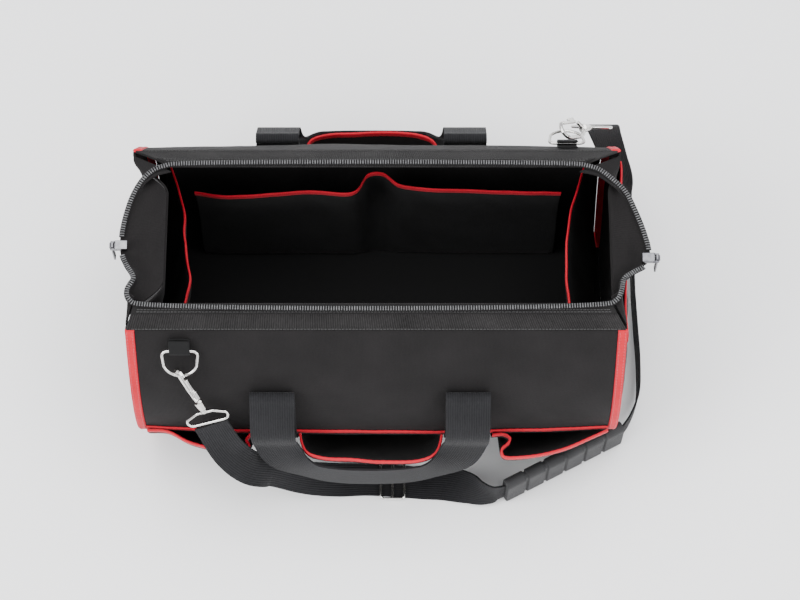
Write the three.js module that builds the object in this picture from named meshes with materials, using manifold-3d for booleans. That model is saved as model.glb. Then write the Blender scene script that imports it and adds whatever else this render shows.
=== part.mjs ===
// A wide-mouthed tool bag of black woven cloth with red bound edges, standing open, its shoulder
// strap laid on the surface in front of it. Millimetres, X along the bag, front towards -Y, Z up,
// with the origin at the middle of the underside of the base.
import * as THREE from 'three'
import { mergeVertices } from 'three/addons/utils/BufferGeometryUtils.js'
import Module from 'manifold-3d'

const wasm = await Module()
wasm.setup()

// Body
const bodyLength = 528
const bodyHeight = 282
const baseDepth = 226
const bellyDepth = 314
const bellyHeight = 136
const mouthDepth = 210
const wallSwell = 6
const wallFacets = 5
const endSwell = 5
const cloth = 2.4
const baseThickness = 3
const gap = 0.35
const seamGap = 0.9
const layerGap = 0.55

// Zip around the mouth
const zipDepth = 160
const zipRise = 15
const zipHeight = bodyHeight + zipRise
const zipDroop = 11
const zipWidth = 5
const zipThickness = 3
const zipFacets = 18
const ridgeRise = 6
const gussetSag = 7

// Red binding
const bindingWidth = 10
const bindingProud = 1.2
const rimBinding = 8

// Outside pockets
const pocketCloth = 1.6
const pocketRim = 124
const pocketFoot = 5
const pocketReach = 32
const endPocketRim = 246
const endPocketReach = 9

// Inside pockets
const innerRim = 200
const innerReach = 58
const backInnerRim = 166
const backInnerReach = 50

// Handles
const handleWebbing = 50
const webbingThickness = 2.2
const handleSpacing = 210
const handleOffset = -7
const sewnTop = 204
const sewnFoot = 4
const handleFold = 215
const gripHeight = 99
const gripReach = 48
const handleTurn = 44

// Shoulder strap
const strapWebbing = 40
const strapThickness = 2.2
const padLength = 150
const padHeight = 56
const padThickness = 13
const padBlocks = 6
const padGroove = 2.5

// Metal
const ringWire = 1.8
const ringWidth = 38
const ringDrop = 29
const ringHang = 1.4
const tabHeight = 20
const hookWire = 2.6
const hookLength = 62
const hookTwist = 57
const hookWidth = 24
const eyeWire = 1.7
const eyeWidth = 46
const eyeDepth = 15
const buckleWire = 1.8
const buckleLength = 27
const sliderLength = 13
const sliderWidth = 10
const sliderThickness = 6
const pullerLength = 30
const pullerWidth = 6
const pullerThickness = 2
const pullerKnuckle = 2.9
const pullerPin = 0.9

// Looks of the materials
const blackCloth = { color: 0x2d2a2a, roughness: 0.85, metalness: 0 }
const liningCloth = { color: 0x1c1c1c, roughness: 0.9, metalness: 0 }
const blackWebbing = { color: 0x26252a, roughness: 0.8, metalness: 0 }
const redBinding = { color: 0xd7283c, roughness: 0.65, metalness: 0 }
const bagZip = { color: 0x202020, roughness: 0.5, metalness: 0 }
const darkRubber = { color: 0x464646, roughness: 0.75, metalness: 0 }
const brightNickel = { color: 0xc9c9c6, roughness: 0.22, metalness: 1 }

// Zip line at each end, from the front row of the zip round to the back row. depth is a share of
// half the zip's depth, reach of half the body's length, droop of the zip's droop.
const leftZip = [
  { depth: -1.0, reach: 0.962, droop: 0 },
  { depth: -0.93, reach: 0.985, droop: 0.02 },
  { depth: -0.8, reach: 0.99, droop: 0.1 },
  { depth: -0.63, reach: 0.968, droop: 0.3 },
  { depth: -0.42, reach: 1.0, droop: 0.7 },
  { depth: -0.24, reach: 1.022, droop: 0.95 },
  { depth: 0.0, reach: 1.026, droop: 1 },
  { depth: 0.3, reach: 1.012, droop: 0.8 },
  { depth: 0.58, reach: 0.984, droop: 0.4 },
  { depth: 0.8, reach: 0.945, droop: 0.15 },
  { depth: 0.93, reach: 0.9, droop: 0.03 },
  { depth: 1.0, reach: 0.84, droop: 0 },
]
const rightZip = [
  { depth: -1.0, reach: 0.935, droop: 0 },
  { depth: -0.93, reach: 0.962, droop: 0.02 },
  { depth: -0.8, reach: 0.977, droop: 0.1 },
  { depth: -0.64, reach: 0.988, droop: 0.35 },
  { depth: -0.52, reach: 1.03, droop: 0.7 },
  { depth: -0.4, reach: 1.08, droop: 1 },
  { depth: -0.22, reach: 1.094, droop: 1 },
  { depth: 0.05, reach: 1.077, droop: 0.8 },
  { depth: 0.36, reach: 1.043, droop: 0.5 },
  { depth: 0.62, reach: 1.005, droop: 0.25 },
  { depth: 0.82, reach: 0.945, droop: 0.1 },
  { depth: 0.94, reach: 0.895, droop: 0.02 },
  { depth: 1.0, reach: 0.83, droop: 0 },
]
const ends = {
  left: { side: -1, ridgeInset: 38, zip: leftZip, sliderDepth: -0.14, sag: gussetSag },
  right: { side: 1, ridgeInset: 13, zip: rightZip, sliderDepth: -0.31, sag: gussetSag / 2 },
}

// Plan of each outside pocket's rim. along is a share of the pocket's width, out of its reach.
const leftPocketPlan = [
  { along: 0.0, out: 0.03 },
  { along: 0.2, out: 0.04 },
  { along: 0.42, out: 0.4 },
  { along: 0.72, out: 0.6 },
  { along: 0.93, out: 0.66 },
  { along: 0.99, out: 0.5 },
  { along: 0.96, out: 0.3 },
  { along: 1.0, out: 0.06 },
]
const centrePocketPlan = [
  { along: 0.0, out: 0.05 },
  { along: 0.015, out: 0.4 },
  { along: 0.05, out: 0.7 },
  { along: 0.16, out: 0.88 },
  { along: 0.36, out: 0.93 },
  { along: 0.58, out: 1.0 },
  { along: 0.84, out: 0.95 },
  { along: 0.95, out: 0.72 },
  { along: 0.985, out: 0.4 },
  { along: 1.0, out: 0.05 },
]
const rightPocketPlan = [
  { along: 0.0, out: 0.06 },
  { along: 0.1, out: 0.06 },
  { along: 0.16, out: 0.22 },
  { along: 0.15, out: 0.42 },
  { along: 0.09, out: 0.66 },
  { along: 0.1, out: 0.86 },
  { along: 0.24, out: 0.9 },
  { along: 0.6, out: 0.66 },
  { along: 0.85, out: 0.28 },
  { along: 1.0, out: 0.03 },
]

// Folds of the back inside pocket. along is a share of half the body's length, out of its reach.
const backInnerPlan = [
  { along: -0.78, out: 0.96 },
  { along: -0.65, out: 1.08 },
  { along: -0.3, out: 1.0 },
  { along: -0.1, out: 1.04 },
  { along: -0.04, out: 0.6 },
  { along: 0.02, out: 0.56 },
  { along: 0.09, out: 0.84 },
  { along: 0.2, out: 0.94 },
  { along: 0.45, out: 1.0 },
  { along: 0.78, out: 0.96 },
]

// Shoulder strap, in three runs. along is a share of half the body's length, out of half the
// belly's depth, up of the body's height, lean the turn of the webbing from flat, in degrees.
const strapFront = [
  { along: -0.605, out: -1.23, up: 0.5, lean: 30 },
  { along: -0.53, out: -1.275, up: 0.4, lean: 44 },
  { along: -0.43, out: -1.22, up: 0.26, lean: 62 },
  { along: -0.31, out: -1.2, up: 0.14, lean: 50 },
  { along: -0.18, out: -1.165, up: 0.05, lean: 24 },
  { along: -0.05, out: -1.14, up: 0.008, lean: 1 },
]
const strapSide = [
  { along: 1.09, out: -0.73, up: 0.094, lean: 90 },
  { along: 1.13, out: -0.55, up: 0.08, lean: 90 },
  { along: 1.14, out: -0.3, up: 0.073, lean: 90 },
  { along: 1.135, out: 0.0, up: 0.073, lean: 90 },
  { along: 1.13, out: 0.25, up: 0.073, lean: 90 },
]
const strapBack = [
  { along: 1.13, out: 0.5, up: 0.075, lean: 90 },
  { along: 1.13, out: 0.85, up: 0.085, lean: 90 },
  { along: 1.1, out: 1.1, up: 0.15, lean: 90 },
  { along: 1.04, out: 1.22, up: 0.3, lean: 90 },
  { along: 0.99, out: 1.26, up: 0.47, lean: 90 },
  { along: 0.963, out: 1.2, up: 0.61, lean: 90 },
]

// Twist of the strap from flat to standing on its edge before the pad. back is the way back from
// the pad and aside the way towards the bag, in shares of the webbing's width, up of the pad's height.
const strapTwist = [
  { back: 2.3, aside: 0.44, up: 0, lean: 0 },
  { back: 1.65, aside: 0.38, up: 0.1, lean: 16 },
  { back: 1.05, aside: 0.2, up: 0.27, lean: 45 },
  { back: 0.55, aside: -0.02, up: 0.42, lean: 72 },
  { back: 0.25, aside: -0.07, up: 0.48, lean: 86 },
]

const bag = new THREE.Group()
const halfLength = bodyLength / 2
const panelEnd = halfLength - bindingWidth - gap
const { clamp, lerp, smoothstep, degToRad } = THREE.MathUtils
const up = new THREE.Vector3(0, 0, 1)

function point(x, y, z) {
  return new THREE.Vector3(x, y, z)
}

// Even steps from 0 to 1
function steps(count) {
  return Array.from({ length: count + 1 }, (_, i) => i / count)
}

function addMesh(name, geometry, look, parent = bag) {
  const mesh = new THREE.Mesh(geometry, new THREE.MeshStandardMaterial(look))
  mesh.name = name
  parent.add(mesh)
  return mesh
}

// A geometry from points and triangles, with its faces turned outwards
function closedGeometry(points, triangles) {
  let volume = 0
  for (let i = 0; i < triangles.length; i += 3) {
    const [a, b, c] = [points[triangles[i]], points[triangles[i + 1]], points[triangles[i + 2]]]
    volume += a.dot(b.clone().cross(c))
  }
  const order = volume < 0 ? triangles.slice().reverse() : triangles
  const geometry = new THREE.BufferGeometry().setFromPoints(points)
  geometry.setIndex(order)
  return geometry
}

// Joins rings of points, each ring convex, into a closed solid; a closed row of rings has no caps
function loft(rings, closed = false) {
  const count = rings[0].length
  const points = rings.flat()
  const triangles = []
  const last = closed ? rings.length : rings.length - 1
  for (let i = 0; i < last; i++) {
    const near = i * count
    const far = ((i + 1) % rings.length) * count
    for (let j = 0; j < count; j++) {
      const k = (j + 1) % count
      triangles.push(near + j, far + j, far + k, near + j, far + k, near + k)
    }
  }
  if (!closed) {
    const end = (rings.length - 1) * count
    for (let j = 1; j < count - 1; j++) {
      triangles.push(0, j, j + 1, end, end + j + 1, end + j)
    }
  }
  return closedGeometry(points, triangles)
}

// A sheet with thickness: outer(u, v) and inner(u, v) give its two faces at the shares listed
function sheet(outer, inner, listU, listV) {
  const points = []
  const triangles = []
  const across = listU.length - 1
  const along = listV.length - 1
  const row = along + 1
  const offset = (across + 1) * row
  for (const face of [outer, inner]) {
    for (const u of listU) {
      for (const v of listV) {
        points.push(face(u, v))
      }
    }
  }
  const quad = (a, b, c, d) => triangles.push(a, b, c, a, c, d)
  for (let i = 0; i < across; i++) {
    for (let j = 0; j < along; j++) {
      const a = i * row + j
      quad(a, a + row, a + row + 1, a + 1)
      quad(offset + a, offset + a + 1, offset + a + row + 1, offset + a + row)
    }
    const foot = i * row
    const head = i * row + along
    quad(foot, foot + offset, foot + row + offset, foot + row)
    quad(head, head + row, head + row + offset, head + offset)
  }
  for (let j = 0; j < along; j++) {
    const near = j
    const far = across * row + j
    quad(near, near + 1, near + 1 + offset, near + offset)
    quad(far, far + offset, far + 1 + offset, far + 1)
  }
  return closedGeometry(points, triangles)
}

// A flat strip along a path: at(t) gives its middle, across the way of its width
function strip(at, across, width, thickness, count) {
  const rings = steps(count).map((t) => {
    const ahead = at(Math.min(t + 1e-3, 1)).sub(at(Math.max(t - 1e-3, 0))).normalize()
    const side = across(t)
    side.addScaledVector(ahead, -side.dot(ahead)).normalize()
    const face = side.clone().cross(ahead).normalize()
    const corners = [[-1, -1], [1, -1], [1, 1], [-1, 1]]
    return corners.map(([i, j]) => at(t)
      .addScaledVector(side, i * width / 2)
      .addScaledVector(face, j * thickness / 2))
  })
  return loft(rings)
}

// A round wire along a path in the local x-y plane, or a closed loop of it
function wire(points, radius, sides = 8, closed = false) {
  const count = points.length
  const rings = points.map((p, i) => {
    const before = closed ? points[(i + count - 1) % count] : points[Math.max(i - 1, 0)]
    const after = closed ? points[(i + 1) % count] : points[Math.min(i + 1, count - 1)]
    const ahead = after.clone().sub(before).normalize()
    const side = ahead.clone().cross(up).normalize()
    return Array.from({ length: sides }, (_, k) => {
      const turn = (k + 0.5) / sides * 2 * Math.PI
      return p.clone()
        .addScaledVector(side, Math.cos(turn) * radius)
        .addScaledVector(up, Math.sin(turn) * radius)
    })
  })
  return loft(rings, closed)
}

// Points of an arc in the local x-y plane, angles in degrees
function arc(x, y, radius, from, to, count) {
  return steps(count).map((t) => {
    const angle = degToRad(lerp(from, to, t))
    return point(x + radius * Math.cos(angle), y + radius * Math.sin(angle), 0)
  })
}

function toManifold(geometry) {
  const bare = geometry.clone()
  bare.deleteAttribute('normal')
  bare.deleteAttribute('uv')
  const merged = mergeVertices(bare, 1e-4)
  return new wasm.Manifold(new wasm.Mesh({
    numProp: 3,
    vertProperties: new Float32Array(merged.attributes.position.array),
    triVerts: new Uint32Array(merged.index.array),
  }))
}

// Fuses several closed geometries into one
function fuse(...geometries) {
  return fromManifold(geometries.map(toManifold).reduce((a, b) => a.add(b)))
}

function fromManifold(solid) {
  const mesh = solid.getMesh()
  const geometry = new THREE.BufferGeometry()
  geometry.setAttribute('position', new THREE.BufferAttribute(mesh.vertProperties, 3))
  geometry.setIndex(new THREE.BufferAttribute(mesh.triVerts, 1))
  return geometry
}

// Levels of the walls' sections, which every layer on the walls shares
const levels = [
  ...steps(wallFacets).map((t) => t * bellyHeight),
  ...steps(wallFacets).slice(1).map((t) => lerp(bellyHeight, bodyHeight, t)),
]

// Half the bag's depth at a section: the wall leans out in an S to the belly, then rounds inwards
function sectionDepth(x, z) {
  const low = (1 - Math.cos(Math.PI * clamp(z / bellyHeight, 0, 1))) / 2
  const high = Math.sin(clamp((bodyHeight - z) / (bodyHeight - bellyHeight), 0, 1) * Math.PI / 2)
  const narrow = z < bellyHeight ? baseDepth : mouthDepth
  const share = z < bellyHeight ? low : high
  const swell = wallSwell * (1 - (x / halfLength) ** 2) * Math.sin(Math.PI * z / bodyHeight)
  return (narrow + (bellyDepth - narrow) * share) / 2 + Math.max(swell, 0)
}

// Half the bag's depth at any height and a place along it, flat between the sections
function wallDepth(x, z) {
  const last = levels.findIndex((level) => level >= z - 1e-6)
  const i = last < 0 ? levels.length - 1 : Math.max(last, 1)
  const share = (z - levels[i - 1]) / (levels[i] - levels[i - 1])
  return lerp(sectionDepth(x, levels[i - 1]), sectionDepth(x, levels[i]), share)
}

function cornerDepth(z) {
  return wallDepth(halfLength, z)
}

// Shares of the way between two heights at which the walls have sections, with both ends
function shares(from, to) {
  const inside = levels.filter((z) => z > from + 1 && z < to - 1)
  return [0, ...inside.map((z) => (z - from) / (to - from)), 1]
}

// How much of an end wall's inward fold is left towards its corners
function ridgeShare(depthShare) {
  return 1 - smoothstep(Math.abs(depthShare), 0.5, 0.97)
}

// Outer face of an end wall; t runs from -1 at the front to 1 at the back
function endFace(end, t, z) {
  const fold = end.ridgeInset * ridgeShare(t) * smoothstep(z, 0.5 * bodyHeight, bodyHeight)
  const swell = endSwell * (1 - t * t) * Math.sin(Math.PI * clamp(z / bodyHeight, 0, 1))
  return halfLength + swell - fold
}

function addBase() {
  const box = new THREE.BoxGeometry(
    bodyLength - 2 * (cloth + gap),
    baseDepth - 2 * (cloth + gap),
    baseThickness,
  )
  addMesh('base_panel', box, blackCloth).position.set(0, 0, baseThickness / 2)
}

function addLongWall(name, side) {
  const face = (depth) => (u, v) => {
    const x = lerp(-panelEnd, panelEnd, u)
    const z = v * bodyHeight
    return point(x, side * (wallDepth(x, z) + depth), z)
  }
  addMesh(name, sheet(face(0), face(-cloth), steps(6), shares(0, bodyHeight)), blackCloth)
}

function addEndWall(name, end) {
  const wallTop = bodyHeight - cloth - seamGap
  const face = (depth) => (u, v) => {
    const t = lerp(-1, 1, u)
    const z = v * (wallTop + v ** 6 * ridgeRise * ridgeShare(t))
    const y = t * (cornerDepth(v * wallTop) - cloth - seamGap)
    return point(end.side * (endFace(end, t, z) + depth), y, z)
  }
  addMesh(name, sheet(face(0), face(-cloth), steps(8), shares(0, wallTop)), blackCloth)
}

function addCornerBinding(name, endSide, side) {
  const rings = levels.map((z) => {
    const inner = side * (cornerDepth(z) - cloth)
    const outer = side * (cornerDepth(z) + bindingProud)
    const near = endSide * (halfLength - bindingWidth)
    const far = endSide * halfLength
    return [point(near, inner, z), point(far, inner, z), point(far, outer, z), point(near, outer, z)]
  })
  addMesh(name, loft(rings), redBinding)
}

// A point of the zip line at one end, t from 0 at its front row to 1 at its back row
function endZipCurve(end, depth) {
  const rows = end.zip.map((row) => point(
    end.side * row.reach * halfLength,
    row.depth * depth,
    zipHeight - row.droop * zipDroop,
  ))
  return new THREE.CatmullRomCurve3(rows, false, 'centripetal')
}

const bandThickness = 2 * cloth

function addTopBand(name, side) {
  const zipEnd = side < 0 ? 0 : -1
  const left = -leftZip.at(zipEnd).reach * halfLength
  const right = rightZip.at(zipEnd).reach * halfLength
  const face = (depth) => (u, v) => {
    const rim = lerp(-halfLength + seamGap, halfLength - seamGap, u)
    const zip = lerp(left, right, u)
    const y = lerp(mouthDepth, zipDepth, v) / 2 - depth
    return point(lerp(rim, zip, v), side * y, lerp(bodyHeight + gap, zipHeight, v))
  }
  addMesh(name, sheet(face(0), face(bandThickness), steps(8), steps(2)), blackCloth)
}

// The soft end of the mouth, between the end wall's ridge and the zip
function addGusset(name, end) {
  const room = bandThickness + seamGap + cloth / 2
  const zip = endZipCurve(end, zipDepth / 2 - room)
  const middle = (u, v) => {
    const edge = zip.getPoint(u)
    const t = edge.y / (zipDepth / 2 - room)
    const ridge = point(
      end.side * (endFace(end, t, bodyHeight) - cloth / 2),
      t * (mouthDepth / 2 - room),
      bodyHeight + gap + ridgeRise * ridgeShare(t),
    )
    const place = ridge.lerp(edge, v)
    place.z -= end.sag * Math.sin(Math.PI * v) * ridgeShare(t)
    return place
  }
  const step = 0.02
  const face = (depth) => (u, v) => {
    const [near, far] = [Math.max(u - step, 0), Math.min(u + step, 1)]
    const along = middle(far, v).sub(middle(near, v))
    const [low, high] = [Math.max(v - step, 0), Math.min(v + step, 1)]
    const across = middle(u, high).sub(middle(u, low))
    const outward = along.cross(across).normalize().multiplyScalar(end.side)
    return middle(u, v).addScaledVector(up, -cloth / 2).addScaledVector(outward, depth)
  }
  addMesh(name, sheet(face(cloth / 2), face(-cloth / 2), steps(zipFacets), steps(3)), blackCloth)
}

// Where a slider sits on its end's zip line
function sliderPlace(end) {
  const miss = (p) => Math.abs(p.y - end.sliderDepth * zipDepth / 2)
  const places = endZipCurve(end, zipDepth / 2).getPoints(200)
  return places.reduce((best, p) => (miss(p) < miss(best) ? p : best))
}

// Half of the zip's teeth, from one slider round the mouth to the other
function addZipRow(name, side) {
  const clear = sliderWidth / 2 + gap
  const pick = (end) => {
    const slider = sliderPlace(end)
    const start = slider.clone().add(point(0, side * clear, 0))
    const beyond = endZipCurve(end, zipDepth / 2).getPoints(zipFacets)
      .filter((p) => (p.y - start.y) * side > sliderWidth / 2)
    return [start, ...(side < 0 ? beyond.reverse() : beyond)]
  }
  const left = pick(ends.left)
  const right = pick(ends.right).reverse()
  const straight = steps(8).slice(1, -1).map((t) => left.at(-1).clone().lerp(right[0], t))
  const points = [...left, ...straight, ...right]
  const rings = points.map((p, i) => {
    const atSlider = i === 0 || i === points.length - 1
    const ahead = points[Math.min(i + 1, points.length - 1)].clone().sub(points[Math.max(i - 1, 0)])
    const inward = atSlider ? point(-Math.sign(p.x), 0, 0) : point(side * ahead.y, -side * ahead.x, 0)
    inward.normalize().multiplyScalar(zipWidth)
    const low = p.clone().addScaledVector(up, seamGap)
    const high = low.clone().addScaledVector(up, zipThickness)
    return [low, low.clone().add(inward), high.clone().add(inward), high]
  })
  addMesh(name, loft(rings), bagZip)
}

function addFlatPocket(name, side) {
  const face = (depth) => (u, v) => {
    const x = lerp(-panelEnd, panelEnd, u)
    const z = lerp(pocketFoot, pocketRim, v)
    return point(x, side * (wallDepth(x, z) + layerGap + depth), z)
  }
  addMesh(name, sheet(face(pocketCloth), face(0), steps(6), shares(pocketFoot, pocketRim)), blackCloth)
}

function addFlatBinding(name, side) {
  const rings = steps(6).map((u) => {
    const x = lerp(-panelEnd, panelEnd, u)
    const low = pocketRim + gap
    const high = low + rimBinding
    const ring = [[low, 0], [low, cloth], [high, cloth], [high, 0]]
    return ring.map(([z, depth]) => point(x, side * (wallDepth(x, z) + layerGap + depth), z))
  })
  addMesh(name, loft(rings), redBinding)
}

// A pocket that stands off the wall, open at its top, and its bound rim
function addPocket(name, side, plan, from, to, reach) {
  const rim = new THREE.CatmullRomCurve3(
    plan.map((row) => point(lerp(from, to, row.along), row.out * reach, 0)), false, 'centripetal')
  const spare = 2 * layerGap + cloth
  const open = (z) => {
    const rise = clamp((z - pocketFoot) / (pocketRim - pocketFoot), 0, 1)
    return lerp(0.12, 1, Math.sin(rise * Math.PI / 2))
  }
  const place = (u, z, offset) => {
    const p = rim.getPointAt(u)
    const ahead = rim.getTangentAt(u)
    const x = p.x - ahead.y * offset
    const out = p.y * open(z) + ahead.x * offset
    return point(x, side * (wallDepth(x, z) + spare + Math.max(out, 0)), z)
  }
  const turned = to > from ? 1 : -1
  const face = (offset) => (u, v) => place(u, lerp(pocketFoot, pocketRim, v), turned * offset)
  addMesh(name, sheet(face(pocketCloth), face(0), steps(18), shares(pocketFoot, pocketRim)), blackCloth)
  const rings = steps(18).map((u) => {
    const low = pocketRim + gap
    const high = low + rimBinding
    const ring = [[low, 0], [low, cloth], [high, cloth], [high, 0]]
    return ring.map(([z, offset]) => place(u, z, turned * offset))
  })
  addMesh(`${name}_binding`, loft(rings), redBinding)
}

// The flat pocket on the right end wall
function addEndPocket(end) {
  const wide = 0.86
  const face = (depth) => (u, v) => {
    const t = lerp(-wide, wide, u)
    const z = lerp(pocketFoot, endPocketRim, v)
    const stand = seamGap + depth + endPocketReach * (1 - (t / wide) ** 4) * v
    return point(
      end.side * (endFace(end, t, z) + stand),
      t * (cornerDepth(z) - cloth - gap),
      z,
    )
  }
  const listV = shares(pocketFoot, endPocketRim)
  addMesh('right_end_pocket', sheet(face(pocketCloth), face(0), steps(6), listV), blackCloth)
  const rings = steps(6).map((u) => {
    const low = face(0)(u, 1)
    const ring = [[gap, 0], [gap, cloth], [gap + rimBinding, cloth], [gap + rimBinding, 0]]
    return ring.map(([z, depth]) => point(low.x + end.side * depth, low.y, low.z + z))
  })
  addMesh('right_end_pocket_binding', loft(rings), redBinding)
}

// A pocket inside an end wall
function addInnerEndPocket(name, end) {
  const face = (depth) => (u, v) => {
    const t = lerp(-1, 1, u)
    const z = lerp(baseThickness + gap, innerRim, v)
    const reach = innerReach * (1 - 0.62 * t * t) * Math.sin(lerp(0.1, 1, v) * Math.PI / 2)
    const x = endFace(end, t, Math.min(z, bellyHeight)) - cloth - gap - reach - depth
    const room = Math.min(wallDepth(x, z), wallDepth(x, z + rimBinding)) - cloth - 2 * layerGap
    return point(end.side * x, t * room, z)
  }
  const listV = shares(baseThickness + gap, innerRim)
  addMesh(name, sheet(face(0), face(pocketCloth), steps(8), listV), liningCloth)
  const rings = steps(8).map((u) => {
    const low = face(0)(u, 1)
    const ring = [[gap, 0], [gap, cloth], [gap + rimBinding, cloth], [gap + rimBinding, 0]]
    return ring.map(([z, depth]) => point(low.x - end.side * depth, low.y, low.z + z))
  })
  addMesh(`${name}_binding`, loft(rings), redBinding)
}

// The folded pocket inside the back wall
function addInnerBackPocket() {
  const plan = new THREE.CatmullRomCurve3(
    backInnerPlan.map((row) => point(row.along * halfLength, row.out * backInnerReach, 0)))
  const face = (depth) => (u, v) => {
    const p = plan.getPoint(u)
    const z = lerp(baseThickness + gap, backInnerRim, v)
    const reach = p.y * Math.sin(lerp(0.08, 1, v) * Math.PI / 2)
    return point(p.x, wallDepth(p.x, z) - cloth - gap - reach - depth, z)
  }
  addMesh('inner_back_pocket', sheet(face(0), face(pocketCloth), steps(16), steps(4)), liningCloth)
  const rings = steps(16).map((u) => {
    const low = face(0)(u, 1)
    const ring = [[gap, 0], [gap, cloth], [gap + rimBinding, cloth], [gap + rimBinding, 0]]
    return ring.map(([z, depth]) => point(low.x, low.y - depth, low.z + z))
  })
  addMesh('inner_back_pocket_binding', loft(rings), redBinding)
}

// Half the bag's depth under the handles' legs
function legDepth(z) {
  return wallDepth(handleSpacing / 2 - handleWebbing / 2 - Math.abs(handleOffset), z)
}

// The straps sewn down the wall under a handle, stepping over the bound pocket edge
function addSewnStrap(name, side, x) {
  const stepFoot = pocketRim + rimBinding + layerGap
  const stepHead = pocketRim + 2.6 * rimBinding
  const half = handleWebbing / 2
  const heights = [sewnFoot, ...levels.filter((z) => z > sewnFoot && z < sewnTop), stepFoot, stepHead, sewnTop]
  const rings = heights.sort((a, b) => a - b).map((z) => {
    const step = clamp((z - stepFoot) / (stepHead - stepFoot), 0, 1)
    const low = lerp(cloth + 2 * layerGap, layerGap, step)
    const high = low + webbingThickness
    const ring = [[-half, low], [half, low], [half, high], [-half, high]]
    return ring.map(([dx, out]) => point(x + dx, side * (legDepth(z) + out), z))
  })
  addMesh(name, loft(rings), blackWebbing)
}

// A handle: up from its sewn end, over the fold and down to the hanging grip
function addHandle(name, side) {
  const leg = handleSpacing / 2
  const stand = layerGap + 1.5 * webbingThickness + seamGap
  const level = (z) => legDepth(z) + stand
  const grip = bellyDepth / 2 + gripReach
  const half = [
    { across: leg, out: level(sewnTop - 18), height: sewnTop - 18 },
    { across: leg, out: level(sewnTop - 4), height: sewnTop - 4 },
    { across: leg, out: level(handleFold) + 1.5, height: handleFold - 2 },
    { across: leg, out: level(handleFold) + 8, height: handleFold },
    { across: leg, out: level(handleFold) + 14, height: handleFold - 8 },
    { across: leg, out: lerp(level(handleFold) + 14, grip, 0.55), height: lerp(gripHeight, handleFold, 0.62) },
    { across: leg - 0.07 * handleTurn, out: grip - 0.42 * handleTurn, height: gripHeight + 1.05 * handleTurn },
    { across: leg - 0.34 * handleTurn, out: grip - 0.24 * handleTurn, height: gripHeight + 0.48 * handleTurn },
    { across: leg - 0.9 * handleTurn, out: grip - 0.09 * handleTurn, height: gripHeight + 0.12 * handleTurn },
    { across: leg / 3, out: grip, height: gripHeight },
  ]
  const place = (row, way) => point(handleOffset + way * row.across, side * row.out, row.height)
  const curve = new THREE.CatmullRomCurve3([
    ...half.map((row) => place(row, -1)),
    ...half.slice().reverse().map((row) => place(row, 1)),
  ], false, 'centripetal')
  const across = (t) => {
    const aside = curve.getPointAt(t).x - handleOffset
    const turn = smoothstep(leg - Math.abs(aside), 0, handleTurn) * Math.PI / 2
    return point(-Math.sign(aside) * Math.cos(turn), 0, Math.sin(turn))
  }
  const at = (t) => curve.getPointAt(clamp(t, 0, 1))
  addMesh(name, strip(at, across, handleWebbing, webbingThickness, 38), blackWebbing)
}

function route(rows) {
  return rows.map((row) => point(
    row.along * halfLength,
    row.out * bellyDepth / 2,
    Math.max(row.up * bodyHeight, strapThickness / 2 + gap),
  ))
}

// A run of the shoulder strap: the webbing leans from flat to standing on its edge, and turns to
// lie along a hook's bar over the share of the run that the bar's reach gives
function addStrapRun(name, points, leans, count, bar) {
  const curve = new THREE.CatmullRomCurve3(points, false, 'centripetal')
  const leanAt = (t) => {
    const slot = Math.min(t * (leans.length - 1), leans.length - 1.001)
    return degToRad(lerp(leans[Math.floor(slot)], leans[Math.floor(slot) + 1], slot % 1))
  }
  const at = (t) => {
    const p = curve.getPoint(clamp(t, 0, 1))
    const lean = leanAt(clamp(t, 0, 1))
    const rest = (strapWebbing * Math.sin(lean) + strapThickness * Math.cos(lean)) / 2 + gap
    return p.setZ(Math.max(p.z, rest))
  }
  const across = (t) => {
    const ahead = curve.getTangent(clamp(t, 0, 1))
    const level = point(-ahead.y, ahead.x, 0).normalize()
    const lean = leanAt(t)
    const side = level.multiplyScalar(Math.cos(lean)).addScaledVector(up, Math.sin(lean))
    return bar ? side.lerp(bar.way, 1 - smoothstep(Math.abs(t - bar.end), 0, bar.reach)) : side
  }
  addMesh(name, strip(at, across, strapWebbing, strapThickness, count), blackWebbing)
}

// Ground line of the shoulder pad, which stands on its long edge
const padStart = point(0.545 * halfLength, -0.638 * bellyDepth, 0)
const padWay = point(0.885, 0.465, 0).normalize()
const padEnd = padStart.clone().addScaledVector(padWay, padLength)
const floorLevel = strapThickness / 2 + gap
const edgeLevel = padHeight / 2

function addStrap(frontEye, backEye) {
  const front = route(strapFront)
  const entry = padStart.clone().addScaledVector(padWay, -seamGap).setZ(edgeLevel)
  const twist = strapTwist.map((row) => entry.clone()
    .add(point(-row.back * strapWebbing, row.aside * strapWebbing, 0))
    .setZ(floorLevel + row.up * padHeight))
  const leans = [0, ...strapFront.map((row) => row.lean), ...strapTwist.map((row) => row.lean), 90]
  const frontBar = { way: frontEye.bar, end: 0, reach: 0.15 }
  addStrapRun('strap_front', [frontEye.place, ...front, ...twist, entry], leans, 48, frontBar)
  const exit = padEnd.clone().addScaledVector(padWay, seamGap).setZ(edgeLevel)
  addStrapRun('strap_side', [exit, ...route(strapSide)], [90, ...strapSide.map((row) => row.lean)], 18)
  const onward = route(strapSide).at(-1).add(point(0, seamGap, 0))
  const backLeans = [90, ...strapBack.map((row) => row.lean), 90]
  const backBar = { way: backEye.bar, end: 1, reach: 0.75 }
  addStrapRun('strap_back', [onward, ...route(strapBack), backEye.place], backLeans, 24, backBar)
}

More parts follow.
